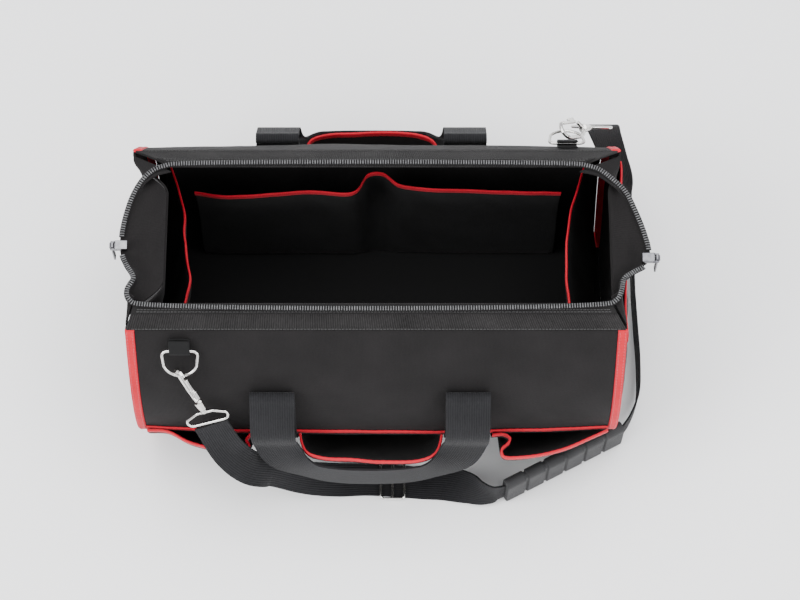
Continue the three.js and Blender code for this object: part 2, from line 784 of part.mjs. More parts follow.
// The rubber pad: blocks joined by thin grooves
function addPad() {
  const block = padLength / padBlocks
  const lean = (along, thick) => {
    const foot = padStart.clone().addScaledVector(padWay, along)
    const out = point(padWay.y, -padWay.x, 0)
    const half = thick / 2
    const soft = Math.min(0.8 * half, 4)
    const ring = [
      [-half, soft], [-half + soft, 0], [half - soft, 0], [half, soft],
      [half, padHeight - soft], [half - soft, padHeight],
      [-half + soft, padHeight], [-half, padHeight - soft],
    ]
    return ring.map(([dx, z]) => foot.clone().addScaledVector(out, dx).setZ(z))
  }
  const rings = []
  for (let i = 0; i < padBlocks; i++) {
    const from = i * block
    const to = from + block
    if (i > 0) {
      rings.push(lean(from - padGroove / 2, padThickness / 2), lean(from + padGroove / 2, padThickness / 2))
    }
    rings.push(lean(from + padGroove, padThickness), lean(to - padGroove, padThickness))
  }
  addMesh('shoulder_pad', loft(rings), darkRubber)
}

// The wire slide on the strap, lying on the floor run
function addBuckle() {
  const place = route(strapFront).at(-1)
  const long = strapWebbing / 2 + 3.5
  const short = buckleLength / 2
  const turn = 4
  const outline = [
    ...arc(short - turn, long - turn, turn, 0, 90, 3),
    ...arc(-short + turn, long - turn, turn, 90, 180, 3),
    ...arc(-short + turn, -long + turn, turn, 180, 270, 3),
    ...arc(short - turn, -long + turn, turn, 270, 360, 3),
  ]
  const bar = wire([point(0, -long, 0), point(0, long, 0)], buckleWire, 6)
  const group = new THREE.Group()
  group.position.set(place.x + buckleLength * 1.1, place.y, floorLevel + strapThickness / 2 + buckleWire + seamGap)
  addMesh('strap_slide', fuse(wire(outline, buckleWire, 6, true), bar), brightNickel, group)
  bag.add(group)
}

// A frame on a long wall: x across, y up the cloth, z outwards
function wallGroup(side, x, z, out, turn = 0) {
  const low = point(x, side * wallDepth(x, z - 1), z - 1)
  const high = point(x, side * wallDepth(x, z + 1), z + 1)
  const upward = high.sub(low).normalize()
  const across = point(-side, 0, 0)
  const outward = across.clone().cross(upward).normalize()
  const group = new THREE.Group()
  group.position.set(x, side * wallDepth(x, z), z).addScaledVector(outward, out)
  group.quaternion.setFromRotationMatrix(new THREE.Matrix4().makeBasis(across, upward, outward))
  group.rotateZ(degToRad(turn))
  bag.add(group)
  return group
}

const ringStand = ringWire + gap + webbingThickness + layerGap + 0.6

// A ring in its tab, hung below the top band
function addRing(name, side, x, tilt) {
  const barLevel = bodyHeight - tabHeight
  const group = wallGroup(side, x, barLevel, ringStand)
  const ring = new THREE.Group()
  ring.rotateX(degToRad(-tilt))
  group.add(ring)
  const half = ringWidth / 2
  const bend = 5
  const outline = [
    ...arc(half - bend, -bend, bend, 0, 90, 3),
    ...arc(-half + bend, -bend, bend, 90, 180, 3),
    ...arc(0, -ringDrop + half, half, 205, 335, 9),
  ]
  addMesh(`${name}_ring`, wire(outline, ringWire, 6, true), brightNickel, ring)
  const loop = ringWire + gap + webbingThickness / 2
  const path = [
    point(0, tabHeight - 4, loop),
    point(0, tabHeight / 2, loop),
    ...[90, 45, 0, -45, -90].map((turn) => point(
      0, -loop * Math.cos(degToRad(turn)), loop * Math.sin(degToRad(turn)))),
    point(0, tabHeight / 2, -loop),
    point(0, tabHeight - 6, -loop),
  ]
  const curve = new THREE.CatmullRomCurve3(path, false, 'centripetal')
  const width = ringWidth - 4 * bend + 4
  const tab = strip((t) => curve.getPoint(clamp(t, 0, 1)), () => point(1, 0, 0), width, webbingThickness, 16)
  addMesh(`${name}_tab`, tab, blackWebbing, group)
  return ring
}

// A snap hook on a ring: body with its barrel, sprung gate and the strap's eye. Returns the place
// where the strap leaves the eye and the way of the eye's bar, its end that points up.
function addHook(name, ring, tilt, turn) {
  const hook = new THREE.Group()
  hook.position.set(Math.sign(turn) * hookWire / 2, -ringDrop - ringHang, 0)
  hook.rotateX(degToRad(tilt))
  hook.rotateZ(degToRad(turn))
  hook.rotateY(degToRad(-hookTwist))
  ring.add(hook)
  const half = hookWidth / 2 - hookWire
  const foot = 0.64 * hookLength
  const body = wire([
    point(half * 0.9, -foot + 6, 0),
    point(0, -foot, 0),
    point(-half * 0.6, -foot + 5, 0),
    point(-half, -foot + 14, 0),
    point(-half, -half * 0.4, 0),
    ...arc(0, 0, half, 180, 20, 8),
  ], hookWire, 6)
  const barrel = new THREE.CylinderGeometry(5.2, 4.2, 11, 12).translate(0, -foot - 4, 0)
  addMesh(`${name}_hook_body`, fuse(body, barrel), brightNickel, hook)
  const gateWire = 0.85 * hookWire
  const gateTop = point(half, half * 0.34 - hookWire - gap, 0)
  const gateFoot = point(half, -foot + 6 + 2 * hookWire, 0)
  const lever = new THREE.BoxGeometry(5, 11, 3.4).translate(half + 2.2, gateFoot.y + 7, 0)
  const gate = fuse(wire([gateTop, gateFoot], gateWire, 6), lever)
  addMesh(`${name}_hook_gate`, gate, brightNickel, hook)
  const eye = new THREE.Group()
  eye.position.set(0, -foot - 9.5 - seamGap, 0)
  eye.rotateY(degToRad(hookTwist))
  eye.rotateZ(degToRad(-turn * 0.25))
  hook.add(eye)
  const wide = eyeWidth / 2
  const low = -eyeDepth - 4
  const swivel = new THREE.CylinderGeometry(3.4, 3.4, 4, 12).translate(0, -2, 0)
  const bow = wire([
    ...arc(-wide + 6, low + 6, 6, 270, 150, 5),
    point(-wide * 0.4, -4, 0),
    point(wide * 0.4, -4, 0),
    ...arc(wide - 6, low + 6, 6, 30, -90, 5),
  ], eyeWire, 6, true)
  addMesh(`${name}_hook_eye`, fuse(bow, swivel), brightNickel, eye)
  bag.updateMatrixWorld(true)
  const bar = point(1, 0, 0).transformDirection(eye.matrixWorld)
  bar.multiplyScalar(Math.sign(bar.z))
  return { place: eye.localToWorld(point(0, low - eyeWire - strapThickness / 2 - seamGap, 0)), bar }
}

// A zip slider and its free-hanging puller
function addSlider(name, end) {
  const group = new THREE.Group()
  group.position.copy(sliderPlace(end)).add(point(0, 0, seamGap + sliderThickness / 2))
  bag.add(group)
  const block = new THREE.BoxGeometry(sliderLength, sliderWidth, sliderThickness)
  const out = end.side * (sliderLength / 2 + pullerKnuckle + gap)
  const reach = pullerKnuckle + gap + 1.2 + pullerPin
  const ears = [-1, 1].map((way) => new THREE.BoxGeometry(reach + 1, 2, 2.4)
    .translate(out - end.side * (reach / 2 - 1.2), way * (pullerWidth / 2 + gap + 1), 0))
  const pin = new THREE.CylinderGeometry(pullerPin, pullerPin, pullerWidth + 3, 8).translate(out, 0, 0)
  addMesh(`${name}_slider`, fuse(block, ...ears, pin), brightNickel, group)
  const puller = new THREE.Group()
  puller.position.set(out, 0, 0)
  group.add(puller)
  const bore = pullerPin + gap
  const hole = new THREE.CylinderGeometry(bore, bore, pullerWidth + 2, 8)
  const knuckle = new THREE.CylinderGeometry(pullerKnuckle, pullerKnuckle, pullerWidth, 12)
  const blade = new THREE.BoxGeometry(pullerThickness, pullerWidth, pullerLength)
    .translate(0, 0, -pullerLength / 2 - bore - 0.5)
  const solid = toManifold(fuse(knuckle, blade)).subtract(toManifold(hole))
  addMesh(`${name}_puller`, fromManifold(solid), brightNickel, puller)
}

addBase()
for (const [name, side] of [['front', -1], ['back', 1]]) {
  addLongWall(`${name}_panel`, side)
  addTopBand(`${name}_top_band`, side)
  addZipRow(`${name}_zip_row`, side)
  addFlatPocket(`${name}_flat_pocket`, side)
  addFlatBinding(`${name}_flat_pocket_binding`, side)
  addHandle(`${name}_handle`, side)
  for (const [way, place] of [['left', -1], ['right', 1]]) {
    addCornerBinding(`${name}_${way}_corner_binding`, place, side)
    addSewnStrap(`${name}_${way}_sewn_strap`, side, handleOffset + place * handleSpacing / 2)
  }
}
for (const [name, end] of Object.entries(ends)) {
  addEndWall(`${name}_end_panel`, end)
  addGusset(`${name}_gusset`, end)
  addInnerEndPocket(`inner_${name}_pocket`, end)
  addSlider(name, end)
}

const legClear = handleWebbing / 2 + cloth + seamGap
const legInside = handleSpacing / 2 - legClear
const legOutside = handleSpacing / 2 + legClear
const pocketEnd = panelEnd - seamGap
const [insideLeft, insideRight] = [handleOffset - legInside, handleOffset + legInside]
addPocket('front_left_pocket', -1, leftPocketPlan, -pocketEnd, handleOffset - legOutside, pocketReach)
addPocket('front_centre_pocket', -1, centrePocketPlan, insideLeft, insideRight, pocketReach)
addPocket('front_right_pocket', -1, rightPocketPlan, handleOffset + legOutside, pocketEnd, pocketReach)
addPocket('back_centre_pocket', 1, centrePocketPlan, insideLeft, insideRight, pocketReach)
addEndPocket(ends.right)
addInnerBackPocket()
addPad()
addBuckle()

const frontEye = addHook('front', addRing('front', -1, -0.785 * halfLength, 12), 12, 24)
const backEye = addHook('back', addRing('back', 1, 0.785 * halfLength, 24), 24, -32)
addStrap(frontEye, backEye)

export default bag
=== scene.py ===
import math

import bpy
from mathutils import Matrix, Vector, noise


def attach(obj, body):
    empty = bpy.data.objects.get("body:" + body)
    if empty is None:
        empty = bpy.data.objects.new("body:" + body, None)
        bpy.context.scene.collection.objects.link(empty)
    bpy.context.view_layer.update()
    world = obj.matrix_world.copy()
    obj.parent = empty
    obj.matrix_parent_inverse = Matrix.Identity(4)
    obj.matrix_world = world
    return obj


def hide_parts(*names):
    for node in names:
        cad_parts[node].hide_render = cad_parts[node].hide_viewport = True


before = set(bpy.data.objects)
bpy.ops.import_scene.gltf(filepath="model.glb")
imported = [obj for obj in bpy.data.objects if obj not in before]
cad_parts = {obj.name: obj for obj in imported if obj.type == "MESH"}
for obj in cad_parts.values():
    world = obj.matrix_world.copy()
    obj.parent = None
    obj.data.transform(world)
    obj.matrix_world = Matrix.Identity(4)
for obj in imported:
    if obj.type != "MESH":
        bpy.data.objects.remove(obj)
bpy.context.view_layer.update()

bpy.ops.object.select_all(action="DESELECT")

# Camera, at the photograph's angle
view = {"target": (0.025, -0.070, 0.282), "elevation": 68, "distance": 2.531, "lens": 108}
rise = math.radians(view["elevation"])
eyePlace = Vector(view["target"]) + view["distance"] * Vector((0, -math.cos(rise), math.sin(rise)))
bpy.ops.object.camera_add(location=eyePlace, rotation=(math.pi / 2 - rise, 0, 0))
camera = bpy.context.object
camera.data.lens = view["lens"]
camera.data.clip_end = 20
bpy.context.scene.camera = camera

# Lights: a soft overhead box, a key from the left and a low fill in front
lights = [
    {"place": (0.1, 0.5, 2.6), "size": 2.4, "power": 74},
    {"place": (-1.7, -0.9, 2.1), "size": 1.5, "power": 62},
    {"place": (1.9, -1.2, 1.5), "size": 1.6, "power": 38},
    {"place": (0.2, -2.6, 1.0), "size": 1.6, "power": 18},
]
for light in lights:
    aim = Vector((0, 0, 0.1)) - Vector(light["place"])
    turn = aim.to_track_quat("-Z", "Y").to_euler()
    bpy.ops.object.light_add(type="AREA", radius=light["size"], location=light["place"], rotation=turn)
    bpy.context.object.data.size = light["size"]
    bpy.context.object.data.energy = light["power"]
studio = {"color": (0.95, 0.96, 1.0, 1), "strength": 1.2}
world = bpy.data.worlds.new("studio")
world.use_nodes = True
sky = world.node_tree.nodes["Background"].inputs
sky["Color"].default_value = studio["color"]
sky["Strength"].default_value = studio["strength"]
bpy.context.scene.world = world
print("camera and lights set")

# The bag's sizes, in metres; its walls lean out to the belly and round in to the mouth
bag = {
    "length": 0.528, "height": 0.282, "base": 0.226, "belly": 0.314, "bellyHeight": 0.136,
    "mouth": 0.210, "swell": 0.006, "endSwell": 0.005, "cloth": 0.0024, "binding": 0.010,
}
gap = 0.00035
seamGap = 0.0009
layerGap = 0.00055
half = bag["length"] / 2
panelEnd = half - bag["binding"] - gap
zipLine = {"depth": 0.160, "height": 0.297, "droop": 0.011, "tooth": 0.0027, "tape": 0.011,
           "edge": 0.0064, "edgeThick": 0.0012, "edgeLift": 0.0010, "toothLift": 0.0020,
           "sliderClear": 0.05}
pocket = {"cloth": 0.0016, "rim": 0.124, "foot": 0.005, "reach": 0.032, "binding": 0.008,
          "footSpread": 0.12, "crease": 0.0035, "puckerPitch": 0.007}
handle = {"width": 0.050, "thick": 0.0022, "spacing": 0.210, "offset": -0.007, "sewnTop": 0.204,
          "fold": 0.215, "grip": 0.099, "reach": 0.048, "turn": 0.044, "seam": 0.0035,
          "stitch": 0.0045}
strap = {"width": 0.040, "thick": 0.0022}
pad = {"length": 0.150, "height": 0.056, "thick": 0.013, "blocks": 6, "groove": 0.0025,
       "spine": 0.74, "crown": 0.12}


def mix(a, b, t):
    return a + (b - a) * t


def clamp(value, low=0.0, high=1.0):
    return max(low, min(high, value))


def ease(value, low, high):
    t = clamp((value - low) / (high - low))
    return t * t * (3 - 2 * t)


def ripple(x, y, z, scale, depth):
    return noise.noise(Vector((x, y, z)) * scale) * depth


# Soft creases: sharp along their crest, wide between
def crease(x, y, z, scale, depth):
    return (0.35 - abs(noise.noise(Vector((x, y, z)) * scale))) * depth


# Half the bag's depth at a place on a long wall, with its soft unevenness
def wallDepth(x, z, side=0):
    low = (1 - math.cos(math.pi * clamp(z / bag["bellyHeight"]))) / 2
    high = math.sin(clamp((bag["height"] - z) / (bag["height"] - bag["bellyHeight"])) * math.pi / 2)
    below = z < bag["bellyHeight"]
    narrow = bag["base"] if below else bag["mouth"]
    depth = mix(narrow, bag["belly"], low if below else high)
    swell = bag["swell"] * (1 - (x / half) ** 2) * math.sin(math.pi * clamp(z / bag["height"]))
    soft = math.sin(math.pi * clamp(z / bag["height"])) * (1 - clamp(abs(x) / half) ** 6)
    uneven = ripple(x, side, z, 9, 0.0022) + crease(x * 1.4 + z, side * 3, z * 0.8, 14, 0.0014)
    return depth / 2 + max(swell, 0) + soft * uneven


def wallPoint(side, x, z, out):
    return Vector((x, side * (wallDepth(x, z, side) + out), z))


# Smooth curve through points, evenly paced between them by the root of their distance
def curveThrough(points):
    knots = [Vector(p) for p in points]
    before = knots[0] * 2 - knots[1]
    after = knots[-1] * 2 - knots[-2]
    knots = [before, *knots, after]

    def at(t):
        place = clamp(t) * (len(knots) - 3)
        i = min(int(place), len(knots) - 4)
        a, b, c, d = knots[i:i + 4]
        ta = 0.0
        tb = ta + max((b - a).length, 1e-9) ** 0.5
        tc = tb + max((c - b).length, 1e-9) ** 0.5
        td = tc + max((d - c).length, 1e-9) ** 0.5
        s = mix(tb, tc, place - i)
        ab = a.lerp(b, (s - ta) / (tb - ta))
        bc = b.lerp(c, (s - tb) / (tc - tb))
        cd = c.lerp(d, (s - tc) / (td - tc))
        abc = ab.lerp(bc, (s - ta) / (tc - ta))
        bcd = bc.lerp(cd, (s - tb) / (td - tb))
        return abc.lerp(bcd, (s - tb) / (tc - tb))

    return at


# The way a curve runs at t
def heading(at, t, step=0.002):
    return at(min(t + step, 1)) - at(max(t - step, 0))


# The same curve walked by its length; also returns that length
def byLength(at, count=400):
    places = [at(i / count) for i in range(count + 1)]
    sums = [0.0]
    for i in range(count):
        sums.append(sums[-1] + (places[i + 1] - places[i]).length)

    def walk(t):
        goal = clamp(t) * sums[-1]
        low, high = 0, count
        while high - low > 1:
            middle = (low + high) // 2
            if sums[middle] <= goal:
                low = middle
            else:
                high = middle
        share = (goal - sums[low]) / max(sums[high] - sums[low], 1e-12)
        return places[low].lerp(places[high], share)

    return walk, sums[-1]


# A new material and its shader, with the constants that most of them share
def newMaterial(name, roughness, metallic=0.0, sheen=0.0, specular=0.5):
    material = bpy.data.materials.new(name)
    material.use_nodes = True
    shader = material.node_tree.nodes["Principled BSDF"]
    shader.inputs["Roughness"].default_value = roughness
    shader.inputs["Metallic"].default_value = metallic
    shader.inputs["Specular IOR Level"].default_value = specular
    if sheen:
        shader.inputs["Sheen Weight"].default_value = sheen
        shader.inputs["Sheen Roughness"].default_value = 0.45
    return material, shader


def addNode(tree, kind, **values):
    node = tree.nodes.new(kind)
    for key, value in values.items():
        setattr(node, key, value)
    return node


def join(tree, source, target):
    tree.links.new(source, target)


def calc(tree, operation, first, second):
    node = addNode(tree, "ShaderNodeMath", operation=operation)
    for slot, value in enumerate((first, second)):
        if isinstance(value, (int, float)):
            node.inputs[slot].default_value = value
        else:
            join(tree, value, node.inputs[slot])
    return node.outputs[0]


def bands(tree, coordinates, direction, pitch, wobble=0.0):
    node = addNode(tree, "ShaderNodeTexWave", bands_direction=direction)
    node.inputs["Scale"].default_value = math.pi / 10 / pitch
    node.inputs["Distortion"].default_value = wobble
    node.inputs["Detail Scale"].default_value = 2.0
    join(tree, coordinates, node.inputs["Vector"])
    return node.outputs["Fac"]


def mottle(tree, coordinates, size, detail=3.0):
    node = addNode(tree, "ShaderNodeTexNoise")
    node.inputs["Scale"].default_value = 1 / size
    node.inputs["Detail"].default_value = detail
    join(tree, coordinates, node.inputs["Vector"])
    return node.outputs["Fac"]


def tint(tree, factor, dark, light, shader, low=0.3, high=0.7):
    ramp = addNode(tree, "ShaderNodeValToRGB")
    ramp.color_ramp.elements[0].position = low
    ramp.color_ramp.elements[1].position = high
    ramp.color_ramp.elements[0].color = (*dark, 1)
    ramp.color_ramp.elements[1].color = (*light, 1)
    join(tree, factor, ramp.inputs["Fac"])
    join(tree, ramp.outputs["Color"], shader.inputs["Base Color"])


def relief(tree, height, strength, depth, shader):
    bump = addNode(tree, "ShaderNodeBump")
    bump.inputs["Strength"].default_value = strength
    bump.inputs["Distance"].default_value = depth
    join(tree, height, bump.inputs["Height"])
    join(tree, bump.outputs["Normal"], shader.inputs["Normal"])


# Woven cloth: warp and weft of their own pitch, mottled, with dusty patches
def wovenMaterial(name, look):
    material, shader = newMaterial(name, look["roughness"], sheen=look["sheen"],
                                   specular=clothSpecular)
    tree = material.node_tree
    surface = addNode(tree, "ShaderNodeTexCoord").outputs["UV"]
    warp = bands(tree, surface, "X", look["warp"], 0.6)
    weft = bands(tree, surface, "Y", look["weft"], 0.6)
    weave = calc(tree, "ADD", calc(tree, "MULTIPLY", warp, look["warpShare"]),
                 calc(tree, "MULTIPLY", weft, 1 - look["warpShare"]))
    yarn = mottle(tree, surface, look["warp"] * 1.6, 2.0)
    patch = mottle(tree, surface, 0.045, 4.0)
    height = calc(tree, "ADD", weave, calc(tree, "MULTIPLY", yarn, 0.7))
    shade = calc(tree, "ADD", calc(tree, "MULTIPLY", weave, 0.3), calc(tree, "MULTIPLY", patch, 0.45))
    shade = calc(tree, "ADD", shade, calc(tree, "MULTIPLY", yarn, 0.3))
    tint(tree, shade, look["dark"], look["light"], shader, 0.25, 0.85)
    relief(tree, height, look["bump"], look["depth"], shader)
    return material


clothSpecular = 0.12
clothLooks = {
    "black_cloth": {"dark": (0.0040, 0.0036, 0.0036), "light": (0.015, 0.0135, 0.0138), "warp": 0.0013,
                    "weft": 0.0013, "warpShare": 0.5, "roughness": 0.8, "sheen": 0.04, "bump": 0.7,
                    "depth": 0.0004},
    "ribbed_band": {"dark": (0.0030, 0.0030, 0.0030), "light": (0.034, 0.032, 0.032), "warp": 0.0024,
                    "weft": 0.0009, "warpShare": 0.8, "roughness": 0.75, "sheen": 0.05, "bump": 1.0,
                    "depth": 0.0009},
    "zip_tape": {"dark": (0.005, 0.005, 0.005), "light": (0.016, 0.015, 0.015), "warp": 0.0008,
                 "weft": 0.0010, "warpShare": 0.4, "roughness": 0.8, "sheen": 0.04, "bump": 0.5,
                 "depth": 0.0003},
    "black_webbing": {"dark": (0.0045, 0.0045, 0.0050), "light": (0.018, 0.018, 0.020), "warp": 0.0026,
                      "weft": 0.0012, "warpShare": 0.75, "roughness": 0.72, "sheen": 0.05,
                      "bump": 0.8, "depth": 0.0006},
    "lining_cloth": {"dark": (0.0040, 0.0040, 0.0040), "light": (0.014, 0.014, 0.0145), "warp": 0.0011,
                     "weft": 0.0011, "warpShare": 0.5, "roughness": 0.7, "sheen": 0.03, "bump": 0.4,
                     "depth": 0.0003},
    "red_binding": {"dark": (0.34, 0.004, 0.012), "light": (0.70, 0.014, 0.036), "warp": 0.0016,
                    "weft": 0.0011, "warpShare": 0.6, "roughness": 0.6, "sheen": 0.06, "bump": 0.6,
                    "depth": 0.0004},
}
materials = {name: wovenMaterial(name, look) for name, look in clothLooks.items()}


# Plated metal with a little uneven gloss
def platedMaterial(name, dark, light):
    material, shader = newMaterial(name, 0.2, metallic=1.0)
    tree = material.node_tree
    place = addNode(tree, "ShaderNodeTexCoord").outputs["Object"]
    cloudy = mottle(tree, place, 0.012)
    tint(tree, cloudy, dark, light, shader)
    fine = mottle(tree, place, 0.0012)
    join(tree, calc(tree, "ADD", calc(tree, "MULTIPLY", fine, 0.16), 0.12), shader.inputs["Roughness"])
    relief(tree, fine, 0.08, 0.0003, shader)
    return material


# Moulded rubber with fine ribs across the pad
def rubberMaterial():
    material, shader = newMaterial("pad_rubber", 0.62, sheen=0.03, specular=0.25)
    tree = material.node_tree
    surface = addNode(tree, "ShaderNodeTexCoord").outputs["UV"]
    ribs = bands(tree, surface, "X", 0.0021, 0.2)
    grain = mottle(tree, surface, 0.0008)
    patch = mottle(tree, surface, 0.02)
    shade = calc(tree, "ADD", calc(tree, "MULTIPLY", ribs, 0.25), calc(tree, "MULTIPLY", patch, 0.6))
    tint(tree, shade, (0.012, 0.012, 0.0125), (0.040, 0.040, 0.042), shader, 0.2, 0.8)
    relief(tree, calc(tree, "ADD", ribs, calc(tree, "MULTIPLY", grain, 0.5)), 0.5, 0.0005, shader)
    return material


# Moulded teeth with a thin gloss
def toothMaterial():
    material, shader = newMaterial("zip_teeth", 0.32)
    shader.inputs["Coat Weight"].default_value = 0.4
    tree = material.node_tree
    place = addNode(tree, "ShaderNodeTexCoord").outputs["Object"]
    cloudy = mottle(tree, place, 0.004)
    tint(tree, cloudy, (0.016, 0.016, 0.017), (0.085, 0.085, 0.088), shader)
    relief(tree, cloudy, 0.1, 0.0003, shader)
    return material


# Twisted sewing thread
def threadMaterial(name, dark, light):
    material, shader = newMaterial(name, 0.6, sheen=0.2)
    tree = material.node_tree
    place = addNode(tree, "ShaderNodeTexCoord").outputs["Object"]
    twist = mottle(tree, place, 0.0009)
    tint(tree, twist, dark, light, shader)
    relief(tree, twist, 0.4, 0.0003, shader)
    return material


materials["nickel"] = platedMaterial("nickel", (0.50, 0.49, 0.47), (0.78, 0.77, 0.74))
materials["dark_metal"] = platedMaterial("dark_metal", (0.10, 0.10, 0.11), (0.24, 0.24, 0.25))
materials["pad_rubber"] = rubberMaterial()
materials["zip_teeth"] = toothMaterial()
materials["black_thread"] = threadMaterial("black_thread", (0.008, 0.008, 0.008), (0.034, 0.033, 0.032))
materials["red_thread"] = threadMaterial("red_thread", (0.28, 0.01, 0.02), (0.62, 0.04, 0.07))
print("materials made")


# The pale surface under the bag
def floorMaterial():
    material, shader = newMaterial("pale_floor", 0.9)
    tree = material.node_tree
    place = addNode(tree, "ShaderNodeTexCoord").outputs["Object"]
    tint(tree, mottle(tree, place, 0.9), (0.93, 0.93, 0.93), (0.96, 0.96, 0.96), shader)
    return material


bpy.ops.mesh.primitive_plane_add(size=14)
floor = bpy.context.object
floor.name = "floor"
floor.data.materials.append(floorMaterial())


# Gives a piece its material and body, and hides the nodes that it stands for
def dress(piece, material, slot, *nodes, body="bag"):
    piece.data.materials.clear()
    piece.data.materials.append(materials[material])
    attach(piece, body)
    if nodes:
        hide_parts(*nodes)


def applyModifiers(piece):
    bpy.context.view_layer.objects.active = piece
    for modifier in list(piece.modifiers):
        bpy.ops.object.modifier_apply(modifier=modifier.name)


# A grid primitive whose points are put on a surface, with its map in metres
def surfacePiece(name, place, counts, size):
    bpy.ops.object.select_all(action="DESELECT")
    bpy.ops.mesh.primitive_grid_add(x_subdivisions=counts[0], y_subdivisions=counts[1], size=1)
    piece = bpy.context.object
    piece.name = name
    for corner in piece.data.uv_layers.active.data:
        corner.uv = (corner.uv[0] * size[0], corner.uv[1] * size[1])
    for vertex in piece.data.vertices:
        vertex.co = place(clamp(vertex.co.x + 0.5), clamp(vertex.co.y + 0.5))
    return piece


# A cloth sheet with its wall's thickness about the surface and rounded edges
def clothPiece(name, place, counts, size, wall):
    piece = surfacePiece(name, place, counts, size)
    solid = piece.modifiers.new("wall", "SOLIDIFY")
    solid.thickness = wall
    solid.offset = 0
    solid.use_even_offset = False
    edge = piece.modifiers.new("edge", "BEVEL")
    edge.width = wall * 0.3
    edge.segments = 2
    edge.limit_method = "ANGLE"
    edge.angle_limit = math.radians(60)
    applyModifiers(piece)
    closeAndSmooth(piece)
    return piece


# Joins doubled points, closes open ends and smooths all but the sharp edges
def closeAndSmooth(piece, angle=50):
    bpy.ops.object.select_all(action="DESELECT")
    piece.select_set(True)
    bpy.context.view_layer.objects.active = piece
    bpy.ops.object.mode_set(mode="EDIT")
    bpy.ops.mesh.select_all(action="SELECT")
    bpy.ops.mesh.remove_doubles(threshold=1e-6)
    bpy.ops.mesh.fill_holes(sides=0)
    bpy.ops.mesh.normals_make_consistent(inside=False)
    bpy.ops.object.mode_set(mode="OBJECT")
    bpy.ops.object.shade_smooth_by_angle(angle=math.radians(angle))


# A closed tube: section(u, v) goes once round as u runs from 0 to 1
def tubePiece(name, section, counts, size, angle=50):
    piece = surfacePiece(name, section, counts, size)
    closeAndSmooth(piece, angle)
    return piece


# Corners of a flat section with rounded edges, u once round it
def roundedBar(u, width, thick):
    bend = thick / 2
    flat = width - thick
    outline = 2 * flat + 2 * math.pi * bend
    s = (u % 1.0) * outline
    if s < flat:
        return -flat / 2 + s, bend
    s -= flat
    if s < math.pi * bend:
        turn = math.pi / 2 - s / bend
        return flat / 2 + bend * math.cos(turn), bend * math.sin(turn)
    s -= math.pi * bend
    if s < flat:
        return flat / 2 - s, -bend
    s -= flat
    turn = -math.pi / 2 - s / bend
    return -flat / 2 + bend * math.cos(turn), bend * math.sin(turn)


# Webbing along a path; across(t) is the way of its width
def webbingPiece(name, at, across, width, thick, length, counts=(26, 160)):
    def section(u, v):
        ahead = heading(at, v).normalized()
        side = across(v)
        side = (side - ahead * side.dot(ahead)).normalized()
        face = side.cross(ahead).normalized()
        i, j = roundedBar(u, width, thick)
        return at(v) + side * i + face * j

    return tubePiece(name, section, counts, (2 * (width + thick), length))


# Copies of one small piece, joined; each place is (middle, ahead, upward)
def repeatPiece(name, model, places):
    points = []
    faces = []
    for middle, ahead, upward in places:
        ahead = ahead.normalized()
        side = upward.cross(ahead).normalized()
        top = ahead.cross(side)
        first = len(points)
        points.extend(middle + ahead * v.co.x + side * v.co.y + top * v.co.z for v in model.data.vertices)
        faces.extend([first + i for i in face.vertices] for face in model.data.polygons)
    mesh = bpy.data.meshes.new(name)
    mesh.from_pydata(points, [], faces)
    piece = bpy.data.objects.new(name, mesh)
    bpy.context.collection.objects.link(piece)
    mesh.shade_smooth()
    return piece


# One small rounded block, to be repeated
def smallModel(size, bevel, segments):
    bpy.ops.object.select_all(action="DESELECT")
    bpy.ops.mesh.primitive_cube_add(size=1)
    model = bpy.context.object
    for vertex in model.data.vertices:
        vertex.co = Vector((vertex.co.x * size[0], vertex.co.y * size[1], vertex.co.z * size[2]))
    bpy.ops.object.mode_set(mode="EDIT")
    bpy.ops.mesh.select_all(action="SELECT")
    bpy.ops.mesh.bevel(offset=bevel, segments=segments)
    bpy.ops.object.mode_set(mode="OBJECT")
    return model


stitchModel = smallModel((0.0030, 0.0008, 0.0007), 0.00025, 1)
toothModel = smallModel((0.0015, 0.0050, 0.0022), 0.0005, 2)


# A row of stitches along a line on a surface; upward(t) is the surface's way out
def stitchPlaces(at, upward, length, pitch=0.0042):
    count = max(int(length / pitch), 2)
    places = []
    for i in range(count):
        t = (i + 0.5) / count
        places.append((at(t) + upward(t) * 0.0001, heading(at, t, 0.3 / count), upward(t)))
    return places


# Long walls, end walls and the corner bindings
for side, name in ((-1, "front"), (1, "back")):
    panel = clothPiece(
        f"{name}_wall",
        lambda u, v: wallPoint(side, mix(-panelEnd, panelEnd, u), v * bag["height"], -bag["cloth"] / 2),
        (150, 80), (2 * panelEnd, 0.33), bag["cloth"])
    dress(panel, "black_cloth", "black_cloth", f"{name}_panel")

# The zip's line round each end, from its front row to its back row, in shares
ends = {
    "left": {
        "side": -1, "inset": 0.038, "sliderDepth": -0.14, "sag": 0.007,
        "zip": [(-1.0, 0.962, 0), (-0.93, 0.985, 0.02), (-0.8, 0.99, 0.1), (-0.63, 0.968, 0.3),
                (-0.42, 1.0, 0.7), (-0.24, 1.022, 0.95), (0.0, 1.026, 1), (0.3, 1.012, 0.8),
                (0.58, 0.984, 0.4), (0.8, 0.945, 0.15), (0.93, 0.9, 0.03), (1.0, 0.84, 0)]},
    "right": {
        "side": 1, "inset": 0.013, "sliderDepth": -0.31, "sag": 0.0035,
        "zip": [(-1.0, 0.935, 0), (-0.93, 0.962, 0.02), (-0.8, 0.977, 0.1), (-0.64, 0.988, 0.35),
                (-0.52, 1.03, 0.7), (-0.4, 1.08, 1), (-0.22, 1.094, 1), (0.05, 1.077, 0.8),
                (0.36, 1.043, 0.5), (0.62, 1.005, 0.25), (0.82, 0.945, 0.1), (0.94, 0.895, 0.02),
                (1.0, 0.83, 0)]},
}
ridgeRise = 0.006


# How far a place across an end has the fold's full rise
def ridgeShare(t):
    return 1 - ease(abs(t), 0.5, 0.97)


